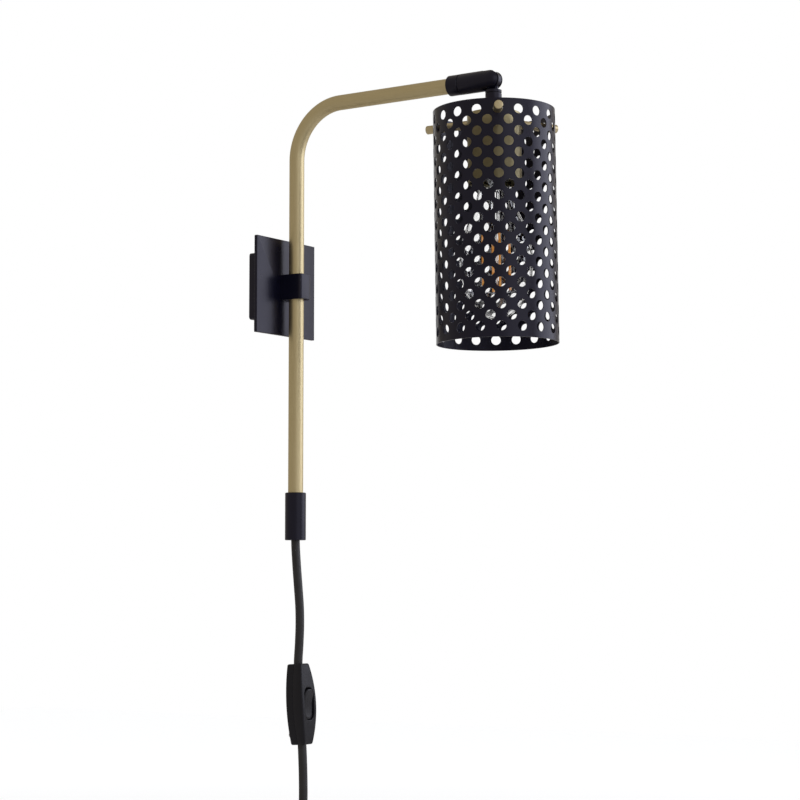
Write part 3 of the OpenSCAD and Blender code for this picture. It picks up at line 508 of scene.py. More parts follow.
tie_fabric, tree, shader = new_material("tie_fabric", Roughness=0.85, Sheen_Weight=0.3)
weave = put(tree, "ShaderNodeTexChecker", {"Vector": place(tree), "Scale": 2200.0}).outputs["Fac"]
fluff = noise(tree, place(tree), 5000.0)
tree.links.new(mixed(tree, weave, (0.02, 0.02, 0.021, 1), (0.05, 0.05, 0.052, 1)),
               shader["Base Color"])
bumpy(tree, shader, joined(tree, "ADD", weave, fluff), 0.5, 0.0002)
print("finishes:", ", ".join(sorted(m.name for m in bpy.data.materials)))

# %% [markdown]
# ## A first coat for every solid
#
# The record names a material slot for each solid, so one table paints them all. Pieces
# that are replaced further on keep their solid hidden, and the others show with this
# finish. A solid's mesh is never touched: only its material slot changes.

# %% Paint the solids
FINISH = {"black_paint": black_paint, "satin_brass": spun_brass_painted_shade, "plain_brass": plain_brass,
          "zinc_steel": zinc_steel, "nylon": nylon, "cord_pvc": cord_pvc,
          "switch_plastic": switch_plastic, "phenolic": phenolic, "clear_glass": clear_glass,
          "filament": light_strip, "tie_fabric": tie_fabric}
SLOT_OF = {row["node"]: row["material_slot"] for row in frame["record"]["subparts"]}


def dress(obj, material):
    """Gives an object this one material."""
    obj.data.materials.clear()
    obj.data.materials.append(material)


for node, solid in frame["nodes"].items():
    dress(solid, FINISH[SLOT_OF[node]])
print("painted", len(frame["nodes"]), "solids with", len(FINISH), "finishes")


def stands_for(piece, material, *nodes):
    """Gives a piece its finish and material slot, and hides the solids that it shows."""
    dress(piece, material)
    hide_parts(*nodes)


# %% [markdown]
# ## The lead
#
# The lead leaves the sleeve straight down, runs through the switch and falls to a coil
# that is tied for storage, with the plug hanging below it. Its line is the one that the
# solids follow. A lead is one smooth bend after another, so the chosen points are joined
# by cubic curves whose slope at each point comes from its neighbours, and the result is
# cut into even steps. A circle carried along that line is the lead's skin.

# %% Smooth lines
def smooth_line(points, step):
    """Points a step apart on cubic Hermite curves through the given ones. The slope at a
    point is that of the parabola through it and its neighbours, and each stretch is first
    drawn with fine pieces."""
    p = np.asarray(points, float)
    gap = np.linalg.norm(np.diff(p, axis=0), axis=1)
    slope = np.diff(p, axis=0) / gap[:, None]
    a, b = gap[:-1, None], gap[1:, None]
    inner = (slope[:-1] * b + slope[1:] * a) / (a + b)
    m = np.concatenate([slope[:1], inner, slope[-1:]])
    pieces = 24
    t = np.tile(np.linspace(0, 1, pieces, endpoint=False), len(gap))[:, None]
    i = np.repeat(np.arange(len(gap)), pieces)
    g = gap[i][:, None]
    q = ((1 + 2 * t) * (1 - t) ** 2 * p[i] + t * (1 - t) ** 2 * g * m[i]
         + t * t * (3 - 2 * t) * p[i + 1] + t * t * (t - 1) * g * m[i + 1])
    q = np.concatenate([q, p[-1:]])
    along = np.concatenate([[0], np.cumsum(np.linalg.norm(np.diff(q, axis=0), axis=1))])
    at = np.linspace(0, along[-1], int(round(along[-1] / step)) + 1)
    return np.stack([np.interp(at, along, q[:, k]) for k in range(3)], 1)


def eased(at, keys):
    """Values that ease from key to key: between two keys the share t becomes t*t*(3 - 2t)."""
    x, y = np.array(keys, float).T
    i = np.clip(np.searchsorted(x, at, "right") - 1, 0, len(x) - 2)
    t = np.clip((at - x[i]) / (x[i + 1] - x[i]), 0, 1)
    return y[i] + (y[i + 1] - y[i]) * t * t * (3 - 2 * t)


# %% [markdown]
# The coil is wound clockwise as seen from the room. Three turns go on the outside, each
# one lead behind the last, then the lead drops to the inside and comes forward again in
# three more turns. `eased` moves it from slot to slot over a part of a turn, which is
# what a hand does. Inside the switch the lead bends a little to the back, behind the
# rocker.

# %% The lead's route
# Points that the hanging lead passes, between the sleeve, the switch, the coil and the plug
cord_d = 0.0074
upper_route = [(0, -0.0288, -0.206), (0, -0.0289, -0.216), (0, -0.0302, -0.235),
               (0, -0.0321, -0.255), (0, -0.0335, -0.271), (0, -0.0338, -0.286),
               (0, -0.0332, -0.301), (0, -0.0322, -0.3178)]
lower_route = [(0, -0.0365, -0.3846), (0, -0.0373, -0.398), (0, -0.0378, -0.412),
               (0, -0.038, -0.425), (0, -0.038, -0.436), (0.002, -0.038, -0.4476),
               (0.008, -0.038, -0.458), (0.017, -0.038, -0.4654)]
tail_route = [(0.0208, -0.042, -0.4772), (0.0288, -0.0448, -0.49), (0.031, -0.0456, -0.502),
              (0.031, -0.0456, -0.518), (0.031, -0.0456, -0.535), (0.031, -0.0456, -0.552)]
switch_place, switch_lean = np.array([0, -0.03435, -0.3512]), math.radians(3.7)


def in_switch(points):
    """Points given on the switch, with +Z along the lead and -Y to its front, put in place."""
    return turned(points, switch_lean) + switch_place


bend_back = 0.0021
height = np.linspace(0.028, -0.028, 8)
back = eased(-np.abs(height), [(-0.032, 0.0), (-0.012, bend_back), (0.0, bend_back)])
through = in_switch(np.stack([0 * height, back, height], 1))
print("points by hand:", len(upper_route) + len(lower_route) + len(tail_route))

# %% The coil
# Keys are (degrees wound, metres). A slot is the room that one lead needs beside the next.
# The lead crosses to the inside behind the third turn, and its tail leaves in front
coil_centre = np.array([-0.004, -0.038, -0.502])
slot, crossing, in_front = 0.0075, 0.0215, -0.0076
outer_r, inner_r, between_r = 0.0425, 0.035, 0.03875
wound = np.arange(45.0, 2191.0, 15.0)
reach = eased(wound, [(30, outer_r), (1020, outer_r), (1080, between_r), (1125, between_r),
                      (1170, inner_r), (2250, inner_r)])
depth = eased(wound, [(30, 0), (300, 0), (380, slot), (660, slot), (740, 2 * slot),
                      (1020, 2 * slot), (1080, crossing), (1125, crossing), (1170, 2 * slot),
                      (1440, 2 * slot), (1530, slot), (1800, slot), (1890, 0), (2160, 0),
                      (2250, in_front)])
coil = coil_centre + np.stack([reach * np.sin(np.radians(wound)), depth,
                               reach * np.cos(np.radians(wound))], 1)
print("coil:", round((wound[-1] - wound[0]) / 360, 1), "turns")

# %% The whole lead
lead_line = smooth_line(np.concatenate([upper_route, through, lower_route, coil, tail_route]),
                        0.0022)
lead_length = np.linalg.norm(np.diff(lead_line, axis=0), axis=1).sum()
print("lead:", round(lead_length, 3), "m in", len(lead_line), "steps")
lead = skin("lead", carried_along(lead_line, cord_d / 2, 16, (0, 1, 0)))
stands_for(lead, cord_pvc, "cord_upper", "cord_lower", "cord_coil", "cord_tail")

# %% [markdown]
# ## Plates with rounded edges
#
# The wall box, back plate and clamp are folded or cast, then painted, and paint needs a
# slightly round edge to hold. The catch of light along that edge is what makes a box
# read as a real object. So each of them starts as an outline with a normal at every
# point. Moving the outline inwards along its normals, while it climbs, traces the
# rounded edge, and every step of that move is one row of the sheet.

# %% Outlines and slabs
def outline(corners, radii, step):
    """A closed outline with round corners, and its outward normals. A corner of radius r is an
    arc about corner - r (n1 + n2) / (1 + n1 . n2), where n1 and n2 are the normals of its two
    sides. Each arc has seven points, and straight runs get one about every step."""
    c = np.asarray(corners, float)
    side = np.roll(c, -1, 0) - c
    side /= np.linalg.norm(side, axis=1, keepdims=True)
    out = np.stack([side[:, 1], -side[:, 0]], 1)
    before = np.roll(out, 1, 0)
    r = np.broadcast_to(np.asarray(radii, float), len(c))[:, None]
    hub = c - r * (before + out) / (1 + (before * out).sum(1, keepdims=True))
    t = np.linspace(0, 1, 7)[None, :, None]
    n = (1 - t) * before[:, None] + t * out[:, None]
    n /= np.linalg.norm(n, axis=2, keepdims=True)
    arcs = hub[:, None] + r[:, :, None] * n
    points, normals = [], []
    for i in range(len(c)):
        a, b = arcs[i, -1], arcs[(i + 1) % len(c), 0]
        count = max(int(np.linalg.norm(b - a) / step), 1)
        share = (np.arange(1, count) / count)[:, None]
        points += [arcs[i], a + share * (b - a)]
        normals += [n[i], np.repeat(out[i:i + 1], count - 1, 0)]
    return np.concatenate(points), np.concatenate(normals)


def rounded_rows(points, normals, low, high, edge, steps=4):
    """Rows of a slab from low to high: each row is the outline moved inwards by
    edge (1 - sin a), at a height that is edge (1 - cos a) from the face. edge is one size, or
    one for the low side and one for the high side."""
    at_low, at_high = np.broadcast_to(edge, 2)
    a = np.linspace(0, np.pi / 2, steps + 1)
    inset = np.concatenate([at_low * (1 - np.sin(a)), at_high * (1 - np.sin(a[::-1]))])
    height = np.concatenate([low + at_low * (1 - np.cos(a)),
                             high - at_high * (1 - np.cos(a[::-1]))])
    flat = points[None] - inset[:, None, None] * normals[None]
    return np.concatenate([flat, np.broadcast_to(height[:, None, None], flat.shape[:2] + (1,))], 2)


def onto_wall(rows):
    """(right, up, distance from the wall) turned into (x, y, z)."""
    return np.stack([rows[..., 0], -rows[..., 2], rows[..., 1]], -1)


def square_corners(width, height, middle_at=(0, 0)):
    """Corners of a rectangle, anticlockwise."""
    w, h = width / 2, height / 2
    return np.array([(-w, -h), (w, -h), (w, h), (-w, h)]) + middle_at


# %% [markdown]
# ## Wall box and back plate
#
# The box is open towards the wall, so its sheet starts on the inner face, comes out over
# the rim at the wall and ends on the front face. The plate is a plain slab.

# %% Wall box
low, high = box_of("wall_box")
box_wall, box_front = 0.0016, 0.002
points, normals = outline(square_corners(high[0] - low[0], high[2] - low[2]), radii=0.0025,
                          step=0.008)
outside = rounded_rows(points, normals, 0, -low[1], edge=(0.0003, 0.0006))
inside = rounded_rows(points - box_wall * normals, normals, 0, -low[1] - box_front, edge=0.0002)
stands_for(skin("wall_box_shell", onto_wall(np.concatenate([inside[::-1], outside])), sharp=50),
           black_paint, "wall_box")

# %% Back plate
low, high = box_of("back_plate")
points, normals = outline(square_corners(high[0] - low[0], high[2] - low[2]), radii=0.0008,
                          step=0.02)
plate = rounded_rows(points, normals, -high[1], -low[1], edge=0.0004)
stands_for(skin("wall_plate", onto_wall(plate), sharp=50), black_paint, "back_plate")

# %% [markdown]
# ## The clamp
#
# The clamp is a block with a round bore, so its sheet is a ring: up the outside, over the
# top face, down the bore and back under. Seen from the bore's centre, each point of the
# outline has one direction, and the bore's point in that same direction is its partner.

# %% Clamp
def ring_block(points, normals, bore_r, bore_at, low, high, edge):
    """Rows of a ring sheet: a slab's outline, then the circle bore_at + bore_r * ray, where
    ray is each outline point's direction from the bore. Points are (a, b, height)."""
    rows = rounded_rows(points, normals, low, high, edge)
    ray = points - bore_at
    ray /= np.linalg.norm(ray, axis=1, keepdims=True)
    soft = 0.3 * edge  # the bore's own edge is less round than the outside
    inner = [np.column_stack([bore_at + (bore_r + grow) * ray, np.full(len(ray), h)])
             for grow, h in ((soft, high), (0, high - soft), (0, low + soft), (soft, low))]
    return np.concatenate([rows, inner])


low, high = box_of("tube_clamp")
tube_low, tube_high = box_of("arm_tube")
tube_d = tube_high[0] - tube_low[0]
axis_y, bore_play = tube_high[1] - tube_d / 2, 0.00005
corners = np.array([(low[0], low[1]), (high[0], low[1]), (high[0], high[1]), (low[0], high[1])])
points, normals = outline(corners, radii=(0.002, 0.003, 0.0002, 0.0002), step=0.0007)
# A cast face is never quite flat: the front falls back by 0.4 mm towards its upright edges
half_w, crown = (high[0] - low[0]) / 2, 0.0004
across = points[:, 0] / half_w
front = np.clip((high[1] - points[:, 1]) / (high[1] - low[1]), 0, 1) ** 4
points[:, 1] += crown * across**2 * front
normals[:, 0] += 2 * crown * across / half_w * np.clip(-normals[:, 1], 0, 1)
normals /= np.linalg.norm(normals, axis=1, keepdims=True)
block = ring_block(points, normals, tube_d / 2 + bore_play, (0, axis_y), low[2], high[2],
                   edge=0.0005)
stands_for(skin("tube_clamp_block", block, ring=True, sharp=50), black_paint, "tube_clamp")

# %% [markdown]
# ## The arm tube
#
# One brass tube goes up, round a bend and out into the room. A circle carried along its
# centre line gives the outer wall and a smaller one the inner wall. Joined end to end,
# the two are one closed skin. The brush lines of drawn tube run along it, which the UV
# map gives for free.

# %% Arm tube
arm_z = box_of("arm_collar").mean(0)[2]
bend_r, tube_wall = 0.045, 0.001
up = np.linspace(tube_low[2], arm_z - bend_r, 24)
a = np.linspace(0, np.pi / 2, 41)[1:]
out = np.linspace(axis_y - bend_r, tube_low[1], 14)[1:]
tube_line = np.concatenate([
    np.stack([0 * up, 0 * up + axis_y, up], 1),
    np.stack([0 * a, axis_y - bend_r * (1 - np.cos(a)), arm_z - bend_r * (1 - np.sin(a))], 1),
    np.stack([0 * out, out, 0 * out + arm_z], 1)])
outer, inner = (carried_along(tube_line, r, 64, (1, 0, 0))
                for r in (tube_d / 2, tube_d / 2 - tube_wall))
tube = skin("arm_tube_bent", np.concatenate([outer, inner[::-1]]), ring=True, sharp=50,
            body="arm")
stands_for(tube, drawn_brass, "arm_tube")

# %% [markdown]
# ## Parts that are drilled and slotted
#
# The sleeve, collar, barrel and stem have holes and slots that cut through round walls,
# where a sheet has no simple rows. Their solids already have those cuts. So each is
# copied, its loose triangles are joined into one skin, flat triangles are merged into
# whole faces, and a small Bevel modifier rounds the edges.

# %% Softened copies of solids
def softened_copy(name, node, edge, body):
    """A joined copy of a solid with a small round on every edge sharper than 30 degrees."""
    crease = math.radians(30)
    mesh = frame["nodes"][node].data.copy()
    work = bmesh.new()
    work.from_mesh(mesh)
    bmesh.ops.remove_doubles(work, verts=work.verts, dist=1e-6)
    bmesh.ops.dissolve_limit(work, angle_limit=math.radians(0.5), verts=work.verts,
                             edges=work.edges)
    work.to_mesh(mesh)
    work.free()
    mesh.polygons.foreach_set("use_smooth", np.ones(len(mesh.polygons), bool))
    mesh.set_sharp_from_angle(angle=crease)
    made = bpy.data.objects.new(name, mesh)
    scene.collection.objects.link(made)
    bevel = made.modifiers.new("edge", "BEVEL")
    bevel.width, bevel.segments = edge, 2
    bevel.limit_method, bevel.angle_limit = "ANGLE", crease
    bevel.harden_normals = True
    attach(made, body)
    print(f"{name}: copy of {node}, {len(mesh.vertices)} points")
    return made


# %% Sleeve, collar and swivel
for name, node, edge, body in (("tube_sleeve", "bottom_sleeve", 0.0003, "arm"),
                               ("tube_collar", "arm_collar", 0.0003, "arm"),
                               ("swivel_body", "swivel_barrel", 0.0003, "barrel"),
                               ("swivel_neck", "swivel_stem", 0.0002, "head")):
    stands_for(softened_copy(name, node, edge, body), black_paint, node)

# %% [markdown]
# ## A head that leans
#
# At rest the shade hangs a little off plumb, with its mouth away from the wall. The
# record tells how far: the lower end of the tilt joint's travel brings it upright. Round
# things are easiest upright, so each head piece is worked out that way, and every point
# is then turned about the pivot's pin by the lean.

# %% Lean of the head
tilt = next(j for j in frame["record"]["behaviour"]["joints"] if j["name"] == "head_tilt")
pin, lean = np.array(tilt["pos_m"]), -math.radians(tilt["range_deg"][0])
head_x, head_y = pin[:2]


def upright_box(node):
    """Low and high corner of a head solid's box when the head hangs straight."""
    mesh = frame["nodes"][node].data
    points = np.empty(3 * len(mesh.vertices), np.float32)
    mesh.vertices.foreach_get("co", points)
    straight = turned(points.reshape(-1, 3), -lean, pin)
    return straight.min(0), straight.max(0)


def round_head(profile, count):
    """Sheet of a (radius, height) profile carried round the upright head's own axis."""
    return carried_round(profile, (head_x, head_y, 0), (0, 0, 1), count)


def hung(name, sheets, **more):
    """A skin from sheets that were worked out upright."""
    many = sheets if isinstance(sheets, list) else [sheets]
    return skin(name, [turned(s, lean, pin) for s in many], body="head", **more)


print("lean of the head, degrees:", round(math.degrees(lean), 2))

# %% [markdown]
# ## The shade
#
# The shade is thin steel, rolled round and punched with rows of holes, and each row is
# turned half a hole from the last. Every hole therefore has its own diamond of metal,
# and the diamonds cover the whole shade. One cell is made from a fan of spokes between
# the hole's edge and the diamond's edge, and then all its copies are placed in a single
# array sum. The top and bottom rows get cells that reach the rims. The sheet's ends meet
# in an upright seam at the back, where the columns stand a little farther apart, and in
# row one the three holes for the pins follow the cup instead of the sheet.
#
# Normals are set by formula instead of being averaged from the faces: outwards on the
# outer skin, towards the hole's axis in its wall. Averaged ones would put a faint star
# round each hole, and a satin cylinder would show it.

# %% One cell of the shade
SPOKES = 24


def cell_edge(*corners):
    """Points round a cell: corners are (spoke, x, z), joined by straight lines."""
    k, x, z = np.array([*corners, (SPOKES, *corners[0][1:])], float).T
    spoke = np.arange(SPOKES)
    return np.stack([np.interp(spoke, k, x), np.interp(spoke, k, z)], 1)


# margin is from the top rim to the middle of row one, and seam_w is the seam's extra width.
# Columns count from first_hole, and the sheet starts with seam_column
low, high = upright_box("shade")
shade_r, sheet_t = (high[0] - low[0]) / 2, 0.0008
rows, per_row, row_pitch, hole_r = 21, 18, 0.00857, 0.0039
margin, seam_w = 0.0082, 0.0034
first_hole, seam_column = math.radians(214.6), -6
row_one = high[2] - margin
step = (2 * math.pi - seam_w / shade_r) / per_row
half = shade_r * step / 2
below = row_one - (rows - 1) * row_pitch - low[2]
diamond = cell_edge((0, half, 0), (6, 0, row_pitch), (12, -half, 0), (18, 0, -row_pitch))
top_cell = cell_edge((0, half, 0), (3, half, margin), (9, -half, margin), (12, -half, 0),
                     (18, 0, -row_pitch))
end_cell = cell_edge((0, half, 0), (6, 0, row_pitch), (12, -half, 0), (15, -half, -below),
                     (21, half, -below))
print("cell:", round(2000 * half, 2), "x", round(2000 * row_pitch, 2), "mm")

# %% All cells at once
row, column = (a.ravel() for a in np.meshgrid(np.arange(rows), np.arange(per_row), indexing="ij"))
column = column + seam_column
cell_angle = first_hole + (column - (row % 2) / 2) * step
at_pin = (row == 0) & (column % (per_row // 3) == 0)
hole_angle = np.where(at_pin, first_hole + column * 2 * np.pi / per_row, cell_angle)
hole_z = row_one - row * row_pitch
edges = np.where((row == 0)[:, None, None], top_cell,
                 np.where((row == rows - 1)[:, None, None], end_cell, diamond))
spoke = np.arange(SPOKES) * 2 * np.pi / SPOKES
punch = hole_r * np.stack([np.cos(spoke), np.sin(spoke)], 1)


def over_seam(angle):
    """Angles of cell corners. The cells beside the seam are drawn out over its extra width:
    only corners past the first and the last even column move, by up to all of it."""
    start = first_hole + (seam_column - 1) * step
    end, extra = start + (per_row + 0.5) * step, seam_w / shade_r
    return np.interp(angle, [start, start + step, end - step / 2, end],
                     [start - extra, start + step, end - step / 2, end + extra / 2])


def wrapped(radius, x, z, straight):
    """Cell points on a cylinder. The hole was punched straight, so its sides lie at
    asin(x / radius). The cell's edge is measured along the sheet, at x / shade_r, and is
    stretched over the seam where it ends there."""
    if straight:
        angle = hole_angle[:, None] + np.arcsin(x / radius)
    else:
        angle = over_seam(cell_angle[:, None] + x / shade_r)
    return np.stack([head_x + radius * np.cos(angle), head_y + radius * np.sin(angle),
                     hole_z[:, None] + z], -1)


at_edge = (edges[..., 0], edges[..., 1])
at_hole = [np.broadcast_to(punch[:, k], (rows * per_row, SPOKES)) for k in (0, 1)]
inner_r = shade_r - sheet_t
loops = np.stack([wrapped(shade_r, *at_edge, False), wrapped(shade_r, *at_hole, True),
                  wrapped(inner_r, *at_hole, True), wrapped(inner_r, *at_edge, False)], 1)
print("shade cells:", len(loops), "of", SPOKES, "spokes")

# %% Faces of the shade
# A cell has four loops, and three bands of faces between them: outer skin, wall, inner skin
k = np.arange(SPOKES)
k_next = (k + 1) % SPOKES
base = (np.arange(rows * per_row) * 4 * SPOKES)[:, None, None, None]
band = (np.arange(3) * SPOKES)[None, :, None, None]
quad = np.stack([k, k_next, k_next + SPOKES, k + SPOKES], 1)[None, None]
quads = (base + band + quad).reshape(-1, 4)
corner_loop, corner_spoke = np.array([0, 0, 1, 1])[None], np.stack([k, k_next, k_next, k], 1)


def at_corners(by_band, shape):
    """Values given for (cell, band, loop of the band, spoke), handed to each face's corners."""
    return by_band[:, :, corner_loop, corner_spoke].reshape(shape)


print("shade faces:", len(quads))

# %% Normals and UVs of the shade
# On both skins a normal is radial, and in a hole's wall it points to the hole's axis
radial = loops - (head_x, head_y, 0)
radial[..., 2] = 0
radial /= np.linalg.norm(radial, axis=-1, keepdims=True)
away = np.stack([-np.sin(hole_angle), np.cos(hole_angle), 0 * hole_angle], 1)[:, None]
wall = -(np.cos(spoke)[None, :, None] * away
         + np.sin(spoke)[None, :, None] * np.array([0, 0, 1.0]))
normals = at_corners(np.stack([radial[:, :2], np.stack([wall, wall], 1), -radial[:, 2:]], 1),
                     (-1, 3))
flat = np.stack([np.stack([hole_angle[:, None] * shade_r + x, hole_z[:, None] + z], -1)
                 for x, z in (at_edge, at_hole, at_hole, at_edge)], 1) * 1000
uv = at_corners(np.stack([flat[:, :2], flat[:, 1:3], flat[:, 2:]], 1), (-1, 4, 2))
print("shade normals:", len(normals))

# %% Rims of the shade
def rim(cell_row, spokes):
    """The narrow faces between the two skins along one rim, from the inner to the outer edges
    of a row of cells."""
    start = np.nonzero(row == cell_row)[0][:, None] * 4 * SPOKES
    a, b, skin_gap = spokes[:-1][None], spokes[1:][None], 3 * SPOKES
    return np.stack([start + skin_gap + a, start + skin_gap + b, start + b, start + a],
                    -1).reshape(-1, 4)


top_rim, low_rim = rim(0, np.arange(3, 10)), rim(rows - 1, np.arange(15, 22))
# A rim face is a millimetre wide in its UV map, and as deep as the sheet is thick
rim_uv = [np.tile(np.array([(0, 0), (1, 0), (1, 0.8), (0, 0.8)]), (len(f), 1, 1))
          for f in (top_rim, low_rim)]
rim_normals = [np.tile((0, 0, s), (4 * len(f), 1)) for f, s in ((top_rim, 1), (low_rim, -1))]
# Neighbouring cells share their edge points, so points that agree to seven places join
shared, shared_at = np.unique(np.round(loops.reshape(-1, 3), 7), axis=0, return_inverse=True)
faces = [shared_at.ravel()[f] for f in (quads, top_rim, low_rim)]
shade = finished("shade_skin", turned(shared, lean, pin), faces, [uv] + rim_uv, sharp=180,
                 body="head")
shade.data.normals_split_custom_set(turned(np.concatenate([normals] + rim_normals), lean).tolist())
stands_for(shade, shade_paint, "shade")
print("shade volume, cm3:", round(1e6 * volume(shared, faces), 2))

# %% [markdown]
# ## The seam's hairline
#
# Where the rolled sheet's ends meet, paint sinks into the joint and leaves a fine dark
# line. It is finer than the shade's faces, and it could be cut into them only at the cost
# of many more, so the shade's own paint draws it. A plane stands on the shade's axis and
# runs out through the joint. Where a point lies nearer to that plane than half a
# millimetre, the paint turns darker and its bump dips.

# %% The seam's hairline
# The sheet was cut just past its last column of holes
past_hole = 0.0006
seam_angle = first_hole + (seam_column + per_row - 1) * step + (hole_r + past_hole) / shade_r
across = turned((-math.sin(seam_angle), math.cos(seam_angle), 0), lean)
outward = turned((math.cos(seam_angle), math.sin(seam_angle), 0), lean)
tree = shade_paint.node_tree
shader = tree.nodes["Principled BSDF"].inputs
from_pin = put(tree, "ShaderNodeVectorMath", {0: place(tree), 1: pin}, operation="SUBTRACT")
beside, out_by = (put(tree, "ShaderNodeVectorMath", {0: from_pin.outputs[0], 1: way},
                      operation="DOT_PRODUCT").outputs["Value"] for way in (across, outward))
gap = put(tree, "ShaderNodeMath", {0: beside}, operation="ABSOLUTE").outputs[0]
joint = joined(tree, "MULTIPLY", between(tree, gap, 0.0001, 0.0005, 1, 0),
               joined(tree, "GREATER_THAN", out_by, 0.0))
paint = shader["Base Color"].links[0].from_socket
tree.links.new(mixed(tree, joint, paint, (0.001, 0.001, 0.003, 1)), shader["Base Color"])
dip = put(tree, "ShaderNodeBump", {"Strength": 1.0, "Distance": 0.0003, "Height": joint,
                                   "Normal": shader["Normal"].links[0].from_socket}, invert=True)
tree.links.new(dip.outputs[0], shader["Normal"])
print("seam at", round(math.degrees(seam_angle) % 360, 1), "degrees")

# %% [markdown]
# ## Cup, pins, nut and lamp holder
#
# The cup is spun from brass sheet: its profile goes up the outside, over a soft shoulder
# and back down the inside. The pins are turned rods with a small round at the end. The
# nut is a hexagon that a cone has trimmed: at each angle its radius is the smaller of
# the two. The lamp holder is a moulded sleeve that is closed at the top.

# %% Cup
low, high = upright_box("socket_cup")
cup_r, cup_wall, cup_top, stem_hole_r = (high[0] - low[0]) / 2, 0.001, 0.0012, 0.0051
cup_profile = softened([(cup_r - cup_wall, low[2]), (cup_r, low[2]), (cup_r, high[2]),
                        (stem_hole_r, high[2]), (stem_hole_r, high[2] - cup_top),
                        (cup_r - cup_wall, high[2] - cup_top), (cup_r - cup_wall, low[2])],
                       (0.0003, 0.0012, 0.0002, 0.0002, 0.0004), 5)[:-1]
stands_for(hung("cup_spun", round_head(cup_profile, 128), ring=True, sharp=50), spun_brass_painted_shade,
           "socket_cup")

# %% Shade pins
# Each pin starts just inside the cup's wall and ends outside the shade
pin_r, pin_start, pin_end = 0.0035, cup_r - 0.0005, shade_r + 0.0119
pin_profile = softened([(near_axis, pin_start), (pin_r, pin_start), (pin_r, pin_end),
                        (near_axis, pin_end)], 0.0006)
pins = []
for angle in first_hole + np.radians((0, 120, 240)):
    way = np.array([math.cos(angle), math.sin(angle), 0])
    pins.append(carried_round(pin_profile, (head_x, head_y, row_one), way, 48))
stands_for(hung("pins_turned", pins, sharp=40), plain_brass, "shade_pins")

# %% Lock nut
# flat_r is half the width across flats. The cone starts just past it and rises steeply
low, high = upright_box("lock_nut")
flat_r, nut_h = 0.007, high[2] - low[2]
a = np.linspace(0, 2 * np.pi, 96, endpoint=False)
corner = flat_r / np.cos((a + np.pi / 6) % (np.pi / 3) - np.pi / 6)
lower = np.array([0, 0.0004, 0.0009, 0.0014])
heights = np.concatenate([lower, nut_h - lower[::-1]])
cone_start, cone_slope = 0.0001, 1.7
cone = flat_r + cone_start + cone_slope * np.minimum(heights, nut_h - heights)
nut_radius = np.minimum(corner[None], cone[:, None])
nut = np.stack([head_x + nut_radius * np.cos(a), head_y + nut_radius * np.sin(a),
                np.broadcast_to(low[2] + heights[:, None], nut_radius.shape)], -1)
stands_for(hung("nut_hex", nut, sharp=25), black_paint, "lock_nut")

# %% Lamp holder
low, high = upright_box("lamp_holder")
holder_r, bore_r, bore_top = (high[0] - low[0]) / 2, 0.0141, high[2] - 0.03
holder_profile = softened([(bore_r, bore_top), (bore_r, low[2]), (holder_r, low[2]),
                           (holder_r, high[2])], (0.0006, 0.0008), 5)
stands_for(hung("holder_moulded", round_head(holder_profile, 96), sharp=50), phenolic,
           "lamp_holder")

# %% [markdown]
# ## Screw shell and bulb cap
#
# Both carry a rolled screw thread, with the pitch of a 26 mm lamp base. A thread is a wave
# that climbs as it goes round: the radius at a height h and an angle a is smaller than the
# outer radius by up to its depth, as a cosine of 2 pi h / pitch - a. It fades out towards
# both ends.

# %% Threads
thread_pitch, fade_len, around = 0.00363, 0.003, 72


def threaded(radius, depth, low_z, high_z):
    """Rows of a rolled thread: r = radius + depth (cos(2 pi h / pitch - a) - 1) / 2."""
    h = np.linspace(low_z, high_z, around)[:, None]
    a = np.linspace(0, 2 * np.pi, around, endpoint=False)[None]
    fade = np.clip(np.minimum(h - low_z, high_z - h) / fade_len, 0, 1)
    r = radius + depth * (np.cos(2 * np.pi * h / thread_pitch - a) - 1) * fade / 2
    return np.stack([head_x + r * np.cos(a), head_y + r * np.sin(a),
                     np.broadcast_to(h, r.shape)], -1)


low, high = upright_box("screw_shell")
shell_r, shell_t, shell_top = (high[0] - low[0]) / 2, 0.0004, high[2] - 0.001
outer, inner = (threaded(r, 0.0006, low[2], shell_top) for r in (shell_r, shell_r - shell_t))
stands_for(hung("shell_rolled", np.concatenate([outer, inner[::-1]]), ring=True, sharp=60),
           plain_brass, "screw_shell")

low, high = upright_box("bulb_cap")
cap_r, shoulder = (high[0] - low[0]) / 2, high[2] - 0.0035
cap = threaded(cap_r, 0.0008, low[2], shoulder)
cone = round_head([(0.008, high[2]), (0.0075, high[2]), (cap_r - 0.0013, shoulder)], around)
stands_for(hung("cap_rolled", np.concatenate([cap, cone]), sharp=60), zinc_steel, "bulb_cap")

# %% [markdown]
# ## The bulb
#
# The glass is blown, so it is one smooth line from neck to tip: half an ellipse below the
# widest place and a cosine curve from there up to the neck. The inner wall is the same
# line drawn in by the glass's thickness, which is what gives the thin double edge of a
# real bulb. Both walls are one closed sheet.

# %% Glass
low, high = upright_box("bulb_glass")
glass_len, glass_r, glass_t = high[2] - low[2], (high[0] - low[0]) / 2, 0.0008
neck_r, belly = 0.0124, 0.0465


def glass_line(shrink, t):
    """(radius, height) of a wall, for t from 0 at the tip to 2 at the neck. Up to 1 it is an
    ellipse, r = R sin and h = belly (1 - cos) of a quarter turn, and then a cosine from R to
    the neck's radius."""
    tip = np.minimum(t, 1) * np.pi / 2
    up = np.clip(t - 1, 0, 1)
    r = np.where(t < 1, (glass_r - shrink) * np.sin(tip),
                 neck_r + (glass_r - neck_r) * (1 + np.cos(np.pi * up)) / 2 - shrink)
    h = np.where(t < 1, belly - (belly - shrink) * np.cos(tip), belly + (glass_len - belly) * up)
    return np.stack([r, low[2] + h], 1)


